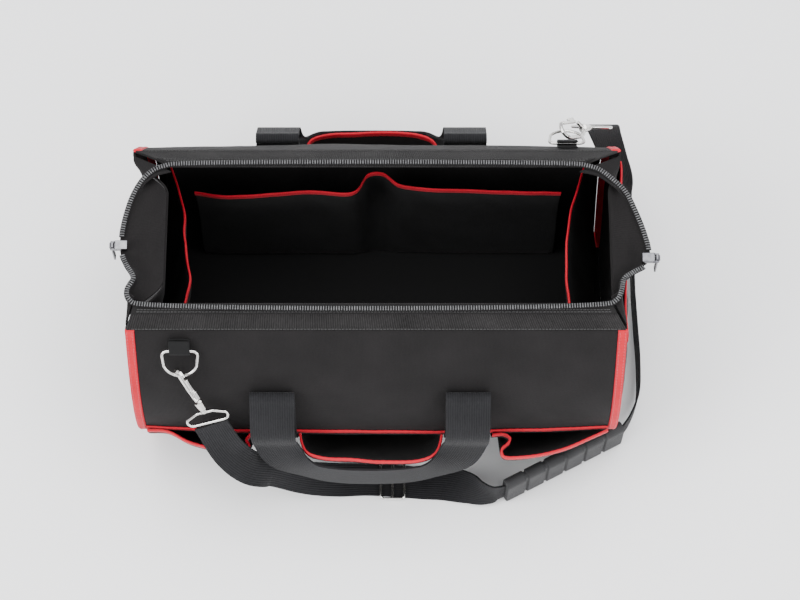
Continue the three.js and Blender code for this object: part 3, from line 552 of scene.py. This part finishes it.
# How far out an end wall stands, folded in towards its ridge
def endFace(end, t, z):
    fold = end["inset"] * ridgeShare(t) * ease(z, 0.5 * bag["height"], bag["height"])
    swell = bag["endSwell"] * (1 - t * t) * math.sin(math.pi * clamp(z / bag["height"]))
    soft = (1 - t * t) * math.sin(math.pi * clamp(z / bag["height"]))
    return half + swell - fold + soft * ripple(end["side"], t * 0.6, z, 8, 0.003)


# The zip's line round one end, for a mouth as wide as twice this depth
def endZipCurve(end, depth):
    return curveThrough([
        (end["side"] * reach * half, share * depth, zipLine["height"] - droop * zipLine["droop"])
        for share, reach, droop in end["zip"]])


wallTop = bag["height"] - bag["cloth"] - seamGap
hemRise = 0.0012
cornerTape = {"extra": 0.0012, "pucker": 0.07, "puckers": 34, "lift": 0.0011,
              "seams": ((0.0022, "a"), (0.0078, "b"))}
for name, end in ends.items():
    def endPlace(u, v):
        t = mix(-1, 1, u)
        z = v * (wallTop + v ** 6 * ridgeRise * ridgeShare(t)) + v ** 12 * hemRise
        return Vector((end["side"] * (endFace(end, t, z) - bag["cloth"] / 2),
                       t * (wallDepth(half, v * wallTop) - bag["cloth"] - gap), z))

    wall = clothPiece(f"{name}_end_wall", endPlace, (90, 80), (0.30, 0.29), bag["cloth"])
    dress(wall, "black_cloth", "black_cloth", f"{name}_end_panel")
    for side, where in ((-1, "front"), (1, "back")):
        def bindingSection(u, v):
            i, j = roundedBar(u, bag["binding"], bag["cloth"] + cornerTape["extra"])
            z = v * bag["height"]
            pucker = 1 + cornerTape["pucker"] * math.sin(v * 2 * math.pi * cornerTape["puckers"])
            depth = wallDepth(half, z) - bag["cloth"] / 2 + cornerTape["extra"] / 2
            return Vector((end["side"] * (half - bag["binding"] / 2 + i),
                           side * (depth + j * pucker), z))

        tape = tubePiece(f"{where}_{name}_corner_tape", bindingSection, (24, 140), (0.026, 0.34))
        dress(tape, "red_binding", "red_binding", f"{where}_{name}_corner_binding")
        for inset, thread in cornerTape["seams"]:
            line, length = byLength(lambda t: Vector((
                end["side"] * (half - inset),
                side * (wallDepth(half, t * bag["height"]) + cornerTape["lift"]), t * bag["height"])))
            outward = Vector((0, side, 0))
            seam = repeatPiece(f"{where}_{name}_corner_stitches_{thread}", stitchModel,
                               stitchPlaces(line, lambda t: outward, length))
            dress(seam, "red_thread", "red_binding")
print("walls made")

# Ribbed band under the zip, with the zip's tape sewn over its upper third
bandThick = 2 * bag["cloth"]
band = {"width": 0.030, "thick": 0.0030, "sunk": 0.0022, "bulge": 0.0012, "length": 0.52,
        "stitch": 0.0036}
tapeFoot = 1 - zipLine["tape"] / band["width"]
bandSeams = [(tapeFoot + 0.07, 0.0008, "a"), (tapeFoot + 0.15, 0.0008, "b"), (0.06, -0.0003, "c")]
for side, name in ((-1, "front"), (1, "back")):
    row = 0 if side < 0 else -1
    left = -ends["left"]["zip"][row][1] * half
    right = ends["right"]["zip"][row][1] * half

    def bandPoint(u, v, out=0.0):
        rim = mix(-half + seamGap, half - seamGap, u)
        uneven = ripple(u * 1.2, v * 0.2, side, 9, 0.0008)
        bulge = (band["bulge"] + uneven) * math.sin(math.pi * v)
        y = mix(bag["mouth"], zipLine["depth"], v) / 2
        return Vector((mix(rim, mix(left, right, u), v), side * (y + (out + bulge) * 0.5),
                       mix(bag["height"] + gap, zipLine["height"], v) + (out + bulge) * 0.85))

    ribbed = clothPiece(f"{name}_ribbed_band", lambda u, v: bandPoint(u, v, -band["sunk"]), (220, 10),
                        (band["length"], 0.032), band["thick"])
    dress(ribbed, "ribbed_band", "black_cloth", f"{name}_top_band")
    tape = clothPiece(f"{name}_zip_tape",
                      lambda u, v: bandPoint(u, mix(tapeFoot, 0.985, v), 0.0002), (200, 6),
                      (band["length"], 0.012), 0.0010)
    dress(tape, "zip_tape", "black_cloth")
    outward = Vector((0, side * 0.5, 0.85)).normalized()
    for share, lift, thread in bandSeams:
        line, length = byLength(lambda t: bandPoint(mix(0.01, 0.99, t), share, lift))
        seam = repeatPiece(f"{name}_band_stitches_{thread}", stitchModel,
                           stitchPlaces(line, lambda t: outward, length, band["stitch"]))
        dress(seam, "black_thread", "black_cloth")


# The mouth's soft ends: cloth from each end wall's ridge to just past the zip's line
mouthEnd = {"thick": 0.0018, "past": 1.04, "lift": 0.0004, "crease": 0.006, "ripple": 0.0016}
room = bandThick + seamGap + bag["cloth"] / 2


def gussetMiddle(end, u, v):
    edge = end["curve"](u)
    t = edge.y / (zipLine["depth"] / 2 - room)
    share = ridgeShare(t)
    ridge = Vector((end["side"] * (endFace(end, t, bag["height"]) - bag["cloth"] / 2),
                    t * (bag["mouth"] / 2 - room), bag["height"] + gap + ridgeRise * share))
    place = ridge.lerp(edge, v * mouthEnd["past"])
    fold = math.sin(math.pi * v)
    place.z -= end["sag"] * fold * share + bag["cloth"] / 2 - mouthEnd["lift"] * v
    creased = crease(place.x * 2.2, place.y * 0.35, end["side"], 17, mouthEnd["crease"]) - 0.001
    place.z += fold * share * creased
    place.z += fold * share * ripple(place.x, place.y * 0.6, end["side"], 24, mouthEnd["ripple"])
    return place


for name, end in ends.items():
    end["curve"] = endZipCurve(end, zipLine["depth"] / 2 - room)
    gusset = clothPiece(f"{name}_mouth_end", lambda u, v: gussetMiddle(end, u, v), (110, 26),
                        (0.20, 0.05), mouthEnd["thick"])
    dress(gusset, "black_cloth", "black_cloth", f"{name}_gusset")


# Place of each slider on its end's zip line
def sliderPlace(end):
    at = endZipCurve(end, zipLine["depth"] / 2)
    goal = end["sliderDepth"] * zipLine["depth"] / 2
    return min((i / 400 for i in range(401)), key=lambda t: abs(at(t).y - goal)), at


# Each half of the opened zip: a thin tape edge and a row of moulded teeth on it
upward = Vector((0, 0, 1))
for side, name in ((-1, "front"), (1, "back")):
    line = []
    for endName in ("left", "right"):
        end = ends[endName]
        start, at = sliderPlace(end)
        stop = 0.0 if side < 0 else 1.0
        clear = side * zipLine["sliderClear"]
        stretch = [at(mix(start + clear, stop, i / 40)) for i in range(41)]
        line.append(stretch if endName == "left" else stretch[::-1])
    path = line[0] + line[1]
    spots = [path[0]]
    for spot in path[1:]:
        if (spot - spots[-1]).length > 0.004:
            spots.append(spot)
    walk, length = byLength(curveThrough(spots), 1200)
    count = int(length / zipLine["tooth"])
    toothLift = upward * zipLine["toothLift"]
    middles = [(i + 0.5) / count for i in range(count)]
    places = [(walk(t) + toothLift, heading(walk, t, 0.001), upward) for t in middles]
    teeth = repeatPiece(f"{name}_zip_teeth", toothModel, places)
    dress(teeth, "zip_teeth", "zip_teeth", f"{name}_zip_row")
    edge = webbingPiece(f"{name}_zip_edge", lambda t: walk(t) + upward * zipLine["edgeLift"],
                        lambda t: upward.cross(heading(walk, t)), zipLine["edge"],
                        zipLine["edgeThick"], length, (12, 260))
    dress(edge, "zip_tape", "zip_teeth")
print("mouth made")


# Flat pockets on the long walls, with their bound edges
for side, name in ((-1, "front"), (1, "back")):
    flat = clothPiece(
        f"{name}_flat_pocket_cloth",
        lambda u, v: wallPoint(side, mix(-panelEnd, panelEnd, u), mix(pocket["foot"], pocket["rim"], v),
                               layerGap + pocket["cloth"] / 2),
        (130, 40), (2 * panelEnd, 0.13), pocket["cloth"])
    dress(flat, "black_cloth", "black_cloth", f"{name}_flat_pocket")

    def flatRim(u, v):
        i, j = roundedBar(u, pocket["binding"], bag["cloth"])
        x = mix(-panelEnd, panelEnd, v)
        z = pocket["rim"] + gap + pocket["binding"] / 2 + i
        pucker = 1 + 0.12 * math.sin(v * 2 * math.pi * 70)
        return wallPoint(side, x, z, layerGap + bag["cloth"] / 2 + j * pucker)

    rim = tubePiece(f"{name}_flat_pocket_tape", flatRim, (18, 260), (0.021, 2 * panelEnd))
    dress(rim, "red_binding", "red_binding", f"{name}_flat_pocket_binding")

# Rim of each outside pocket in plan: shares of its width and of its reach
pocketPlans = {
    "left": [(0, 0.03), (0.2, 0.04), (0.42, 0.4), (0.72, 0.6), (0.93, 0.66), (0.99, 0.5), (0.96, 0.3),
             (1.0, 0.06)],
    "centre": [(0, 0.05), (0.015, 0.4), (0.05, 0.7), (0.16, 0.88), (0.36, 0.93), (0.58, 1.0),
               (0.84, 0.95), (0.95, 0.72), (0.985, 0.4), (1.0, 0.05)],
    "right": [(0, 0.06), (0.1, 0.06), (0.16, 0.22), (0.15, 0.42), (0.09, 0.66), (0.1, 0.86),
              (0.24, 0.9), (0.6, 0.66), (0.85, 0.28), (1.0, 0.03)],
}
legClear = handle["width"] / 2 + bag["cloth"] + seamGap
legInside = handle["spacing"] / 2 - legClear
legOutside = handle["spacing"] / 2 + legClear
pocketEnd = panelEnd - seamGap
pockets = [
    ("front_left_pocket", -1, "left", -pocketEnd, handle["offset"] - legOutside),
    ("front_centre_pocket", -1, "centre", handle["offset"] - legInside, handle["offset"] + legInside),
    ("front_right_pocket", -1, "right", handle["offset"] + legOutside, pocketEnd),
    ("back_centre_pocket", 1, "centre", handle["offset"] - legInside, handle["offset"] + legInside),
]
for name, side, plan, start, stop in pockets:
    rows = [(mix(start, stop, along), out * pocket["reach"], 0) for along, out in pocketPlans[plan]]
    rimLine, rimLength = byLength(curveThrough(rows))

    def pocketPoint(u, z, offset):
        spot = rimLine(u)
        ahead = heading(rimLine, u).normalized()
        rise = clamp((z - pocket["foot"]) / (pocket["rim"] - pocket["foot"]))
        spread = mix(pocket["footSpread"], 1, math.sin(rise * math.pi / 2))
        x = spot.x - ahead.y * offset
        soft = crease(x * 1.3, z, side, 15, pocket["crease"]) * math.sin(math.pi * rise)
        soft *= clamp(spot.y / 0.012)
        out = spot.y * spread + ahead.x * offset + soft
        return wallPoint(side, x, z, 2 * layerGap + bag["cloth"] + max(out, offset * 0.2))

    cloth = clothPiece(
        f"{name}_cloth",
        lambda u, v: pocketPoint(u, mix(pocket["foot"], pocket["rim"], v), pocket["cloth"] / 2),
        (90, 36), (rimLength, 0.13), pocket["cloth"])
    dress(cloth, "black_cloth", "black_cloth", name)

    def pocketRim(u, v):
        i, j = roundedBar(u, pocket["binding"], bag["cloth"] + 0.0004)
        pucker = 1 + 0.1 * math.sin(v * rimLength * 2 * math.pi / pocket["puckerPitch"])
        z = pocket["rim"] + gap + pocket["binding"] / 2 + i
        return pocketPoint(v, z, bag["cloth"] / 2 + j * pucker)

    rim = tubePiece(f"{name}_tape", pocketRim, (18, 150), (0.021, rimLength))
    dress(rim, "red_binding", "red_binding", f"{name}_binding")


# The flat pocket on the right end and the pockets inside the ends; first their bound rims
def endRim(name, face, side, node, length):
    def section(u, v):
        i, j = roundedBar(u, pocket["binding"], bag["cloth"])
        low = face(v, 1)
        return Vector((low.x + side * (bag["cloth"] / 2 + j), low.y,
                       low.z + gap + pocket["binding"] / 2 + i))

    rim = tubePiece(name, section, (18, 110), (0.021, length))
    dress(rim, "red_binding", "red_binding", node)


outer = {"span": 0.86, "rim": 0.246, "bulge": 0.009}


def endPocketPlace(u, v):
    end = ends["right"]
    t = mix(-outer["span"], outer["span"], u)
    z = mix(pocket["foot"], outer["rim"], v)
    stand = seamGap + pocket["cloth"] / 2 + outer["bulge"] * (1 - (t / outer["span"]) ** 4) * v
    return Vector((endFace(end, t, z) + stand, t * (wallDepth(half, z) - bag["cloth"] - gap), z))


endPocket = clothPiece("right_end_pocket_cloth", endPocketPlace, (60, 60), (0.24, 0.25), pocket["cloth"])
dress(endPocket, "black_cloth", "black_cloth", "right_end_pocket")
endRim("right_end_pocket_tape", endPocketPlace, 1, "right_end_pocket_binding", 0.24)

inner = {"rim": 0.200, "reach": 0.058, "foot": 0.0034, "backRim": 0.166, "backReach": 0.050,
         "narrowing": 0.62}
for name, end in ends.items():
    def innerPlace(u, v):
        t = mix(-1, 1, u)
        z = mix(inner["foot"], inner["rim"], v)
        reach = inner["reach"] * (1 - inner["narrowing"] * t * t) * math.sin(mix(0.1, 1, v) * math.pi / 2)
        reach += ripple(t * 0.5, z * 2, end["side"], 5, 0.004) * v * (1 - t * t)
        x = endFace(end, t, min(z, bag["bellyHeight"])) - bag["cloth"] - gap - reach
        room = min(wallDepth(x, z), wallDepth(x, z + 0.008)) - bag["cloth"] - 2 * layerGap - 0.001
        return Vector((end["side"] * x, t * room, z))

    cloth = clothPiece(f"inner_{name}_pocket_cloth", innerPlace, (60, 50), (0.28, 0.2), pocket["cloth"])
    dress(cloth, "lining_cloth", "lining_cloth", f"inner_{name}_pocket")
    endRim(f"inner_{name}_pocket_tape", innerPlace, -end["side"], f"inner_{name}_pocket_binding", 0.28)

# The long inner pocket on the back wall; its rim's plan in shares of half the length and its reach
backPlan = [(-0.78, 0.96), (-0.65, 1.08), (-0.3, 1.0), (-0.1, 1.04), (-0.04, 0.6), (0.02, 0.56),
            (0.09, 0.84), (0.2, 0.94), (0.45, 1.0), (0.78, 0.96)]
backCurve = curveThrough([(along * half, out * inner["backReach"], 0) for along, out in backPlan])


def innerBack(u, v, out=0.0):
    spot = backCurve(u)
    z = mix(inner["foot"], inner["backRim"], v)
    reach = spot.y * math.sin(mix(0.08, 1, v) * math.pi / 2)
    return Vector((spot.x, wallDepth(spot.x, z) - bag["cloth"] - gap - reach - out, z))


def innerBackRim(u, v):
    i, j = roundedBar(u, pocket["binding"], bag["cloth"])
    low = innerBack(v, 1)
    return low + Vector((0, -bag["cloth"] / 2 - j, gap + pocket["binding"] / 2 + i))


cloth = clothPiece("inner_back_pocket_cloth", lambda u, v: innerBack(u, v, pocket["cloth"] / 2), (120, 40),
                   (0.45, 0.17), pocket["cloth"])
dress(cloth, "lining_cloth", "lining_cloth", "inner_back_pocket")
rim = tubePiece("inner_back_pocket_tape", innerBackRim, (18, 160), (0.021, 0.45))
dress(rim, "red_binding", "red_binding", "inner_back_pocket_binding")
print("pockets made")


# Handles: sewn straps down the walls, and the grip that hangs from their fold
def legDepth(z, side):
    return wallDepth(handle["spacing"] / 2 - handle["width"] / 2 - abs(handle["offset"]), z, side)


for side, name in ((-1, "front"), (1, "back")):
    for place, way in ((-1, "left"), (1, "right")):
        x = handle["offset"] + place * handle["spacing"] / 2

        def sewn(t, lift=0.0):
            z = mix(0.004, handle["sewnTop"], t)
            step = ease(z, pocket["rim"] + pocket["binding"], pocket["rim"] + 2.6 * pocket["binding"])
            out = mix(bag["cloth"] + 2 * layerGap, layerGap, step) + handle["thick"] / 2
            return Vector((x, side * (legDepth(z, side) + out + lift), z))

        leg = webbingPiece(f"{name}_{way}_sewn_webbing", sewn, lambda t: Vector((1, 0, 0)),
                           handle["width"], handle["thick"], 0.22, (30, 120))
        dress(leg, "black_webbing", "black_webbing", f"{name}_{way}_sewn_strap")
        outward = Vector((0, side, 0))
        for edge, thread in ((-1, "a"), (1, "b")):
            shift = Vector((edge * (handle["width"] / 2 - handle["seam"]), 0, 0))
            line, length = byLength(lambda t: sewn(t, handle["thick"] / 2) + shift)
            seam = repeatPiece(f"{name}_{way}_sewn_stitches_{thread}", stitchModel,
                               stitchPlaces(line, lambda t: outward, length, handle["stitch"]))
            dress(seam, "black_thread", "black_webbing")

    leg = handle["spacing"] / 2
    stand = layerGap + 1.5 * handle["thick"] + seamGap
    grip = bag["belly"] / 2 + handle["reach"]
    turn = handle["turn"]
    foldDepth = legDepth(handle["fold"], side) + stand
    crest = foldDepth + 0.014
    rows = [(leg, legDepth(z, side) + stand, z)
            for z in (handle["sewnTop"] - 0.018, handle["sewnTop"] - 0.004)]
    rows += [
        (leg, foldDepth + 0.0015, handle["fold"] - 0.002),
        (leg, foldDepth + 0.008, handle["fold"]),
        (leg, crest, handle["fold"] - 0.008),
        (leg, mix(crest, grip, 0.55), mix(handle["grip"], handle["fold"], 0.62)),
        (leg - 0.07 * turn, grip - 0.42 * turn, handle["grip"] + 1.05 * turn),
        (leg - 0.34 * turn, grip - 0.24 * turn, handle["grip"] + 0.48 * turn),
        (leg - 0.9 * turn, grip - 0.09 * turn, handle["grip"] + 0.12 * turn),
        (leg / 3, grip, handle["grip"]),
    ]
    spots = [(handle["offset"] - across, side * out, z) for across, out, z in rows]
    spots += [(handle["offset"] + across, side * out, z) for across, out, z in reversed(rows)]
    walk, length = byLength(curveThrough(spots), 900)

    def gripAcross(t):
        aside = walk(t).x - handle["offset"]
        lean = ease(leg - abs(aside), 0, turn) * math.pi / 2
        return Vector((-math.copysign(math.cos(lean), aside), 0, math.sin(lean)))

    loop = webbingPiece(f"{name}_grip", walk, gripAcross, handle["width"], handle["thick"], length,
                        (30, 320))
    dress(loop, "black_webbing", "black_webbing", f"{name}_handle")
print("handles made")

# Shoulder strap in three runs: along, out and up in shares of half the length, half the belly and
# the height, and the webbing's lean from flat in degrees. The twist before the pad goes back and
# aside in webbing widths and up in shares of the pad's height
strapFront = [(-0.605, -1.23, 0.5, 30), (-0.53, -1.275, 0.4, 44), (-0.43, -1.22, 0.26, 62),
              (-0.31, -1.2, 0.14, 50), (-0.18, -1.165, 0.05, 24), (-0.05, -1.14, 0.008, 1)]
strapTwist = [(2.3, 0.44, 0, 0), (1.65, 0.38, 0.1, 16), (1.05, 0.2, 0.27, 45), (0.55, -0.02, 0.42, 72),
              (0.25, -0.07, 0.48, 86)]
strapSide = [(1.09, -0.73, 0.094, 90), (1.13, -0.55, 0.08, 90), (1.14, -0.3, 0.073, 90),
             (1.135, 0.0, 0.073, 90), (1.13, 0.25, 0.073, 90)]
strapBack = [(1.13, 0.5, 0.075, 90), (1.13, 0.85, 0.085, 90), (1.1, 1.1, 0.15, 90), (1.04, 1.22, 0.3, 90),
             (0.99, 1.26, 0.47, 90), (0.963, 1.2, 0.61, 90)]
eyes = {
    "front": {"place": Vector((-0.17862, -0.17509, 0.18392)), "bar": Vector((0.95, 0.15, 0.27))},
    "back": {"place": Vector((0.24424, 0.17733, 0.19221)), "bar": Vector((0.91, -0.20, 0.35))},
}
padStart = Vector((0.545 * half, -0.638 * bag["belly"], 0))
padWay = Vector((0.885, 0.465, 0)).normalized()
floorLevel = strap["thick"] / 2 + gap


# A run's points on or over the floor
def route(rows):
    return [Vector((along * half, out * bag["belly"] / 2, max(up * bag["height"], floorLevel)))
            for along, out, up, lean in rows]


# One run of webbing; at its bar's end it turns to lie along the bar
def strapRun(name, points, leans, node, bar=None):
    at = curveThrough(points)

    def leanAt(t):
        place = min(clamp(t) * (len(leans) - 1), len(leans) - 1.001)
        share = place % 1
        return math.radians(mix(leans[int(place)], leans[int(place) + 1], share))

    def middle(t):
        spot = at(t)
        lean = leanAt(t)
        rest = (strap["width"] * math.sin(lean) + strap["thick"] * math.cos(lean)) / 2 + gap
        return Vector((spot.x, spot.y, max(spot.z, rest)))

    def across(t):
        ahead = heading(at, t, 0.001)
        flat = Vector((-ahead.y, ahead.x, 0)).normalized()
        lean = leanAt(t)
        side = flat * math.cos(lean) + Vector((0, 0, math.sin(lean)))
        if bar:
            side = side.lerp(bar["way"], 1 - ease(abs(t - bar["end"]), 0, bar["reach"]))
        return side

    run = webbingPiece(name, middle, across, strap["width"], strap["thick"], 0.5, (26, 200))
    dress(run, "black_webbing", "black_webbing", node)


entry = padStart - padWay * seamGap + Vector((0, 0, pad["height"] / 2))
twist = [Vector((entry.x - back * strap["width"], entry.y + aside * strap["width"],
                 floorLevel + up * pad["height"]))
         for back, aside, up, lean in strapTwist]
frontLeans = [0, *(row[3] for row in strapFront), *(row[3] for row in strapTwist), 90]
strapRun("front_strap", [eyes["front"]["place"], *route(strapFront), *twist, entry], frontLeans,
         "strap_front", {"way": eyes["front"]["bar"], "end": 0, "reach": 0.15})
leaving = padStart + padWay * (pad["length"] + seamGap) + Vector((0, 0, pad["height"] / 2))
strapRun("side_strap", [leaving, *route(strapSide)], [90] * 6, "strap_side")
onward = route(strapSide)[-1] + Vector((0, seamGap, 0))
strapRun("back_strap", [onward, *route(strapBack), eyes["back"]["place"]], [90] * 8, "strap_back",
         {"way": eyes["back"]["bar"], "end": 1, "reach": 0.75})


# The shoulder pad: rounded rubber blocks on a thinner spine, standing on its edge
def padSection(u, v):
    along = v * pad["length"]
    block = pad["length"] / pad["blocks"]
    fromGroove = min(along % block, block - along % block)
    fromEnd = min(along, pad["length"] - along)
    if fromEnd < block / 2:
        full = ease(fromEnd, -0.002, 0.0015)
    else:
        full = ease(fromGroove, pad["groove"] * 0.35, pad["groove"])
    i, j = roundedBar(u, pad["height"] - 0.003 * (1 - full), pad["thick"] * mix(pad["spine"], 1, full))
    spread = abs(j) / (pad["thick"] / 2)
    crown = 1 + pad["crown"] * (1 - (2 * i / pad["height"]) ** 2) * spread * full
    spot = padStart + padWay * along + Vector((padWay.y, -padWay.x, 0)) * j * min(crown, 1.06)
    return Vector((spot.x, spot.y, pad["height"] / 2 + i))


cushion = tubePiece("strap_pad", padSection, (44, 220), (0.138, pad["length"]), 40)
dress(cushion, "pad_rubber", "pad_rubber", "shoulder_pad")
print("strap made")


# Metal pieces: a merged copy of the node, remeshed fine and smoothed to round wire and soft edges
def smoothedCopy(node, name, voxel, rounds, material, slot, body):
    bpy.ops.object.select_all(action="DESELECT")
    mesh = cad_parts[node].data.copy()
    piece = bpy.data.objects.new(name, mesh)
    bpy.context.collection.objects.link(piece)
    piece.select_set(True)
    bpy.context.view_layer.objects.active = piece
    bpy.ops.object.mode_set(mode="EDIT")
    bpy.ops.mesh.select_all(action="SELECT")
    bpy.ops.mesh.remove_doubles(threshold=1e-6)
    bpy.ops.object.mode_set(mode="OBJECT")
    fine = piece.modifiers.new("fine", "REMESH")
    fine.mode = "VOXEL"
    fine.voxel_size = voxel
    soft = piece.modifiers.new("soft", "SMOOTH")
    soft.factor = 0.5
    soft.iterations = rounds
    applyModifiers(piece)
    piece.data.shade_smooth()
    dress(piece, material, slot, node, body=body)


# Voxel and rounds of smoothing for each kind of piece
wire = (0.0005, 6)
tab = (0.0006, 3)
sliderBody = (0.0004, 4)
tongue = (0.0003, 4)
for name in ("front", "back"):
    for part in ("ring", "hook_body", "hook_eye"):
        smoothedCopy(f"{name}_{part}", f"{name}_{part}_wire", *wire, "nickel", "nickel", "bag")
    smoothedCopy(f"{name}_hook_gate", f"{name}_gate_wire", *wire, "nickel", "nickel",
                 f"{name}_hook_gate")
    smoothedCopy(f"{name}_tab", f"{name}_tab_webbing", *tab, "lining_cloth", "black_webbing", "bag")
for name in ("left", "right"):
    smoothedCopy(f"{name}_slider", f"{name}_slider_body", *sliderBody, "dark_metal", "nickel", "bag")
    smoothedCopy(f"{name}_puller", f"{name}_puller_tongue", *tongue, "dark_metal", "nickel",
                 f"{name}_puller")
smoothedCopy("strap_slide", "strap_slide_wire", *wire, "nickel", "nickel", "bag")
print("metal made")

# The base keeps its own solid, in the lining's cloth
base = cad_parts["base_panel"]
base.data.materials.clear()
base.data.materials.append(materials["lining_cloth"])

for model in (stitchModel, toothModel):
    bpy.data.objects.remove(model)
bpy.ops.object.select_all(action="DESELECT")
print("finished")
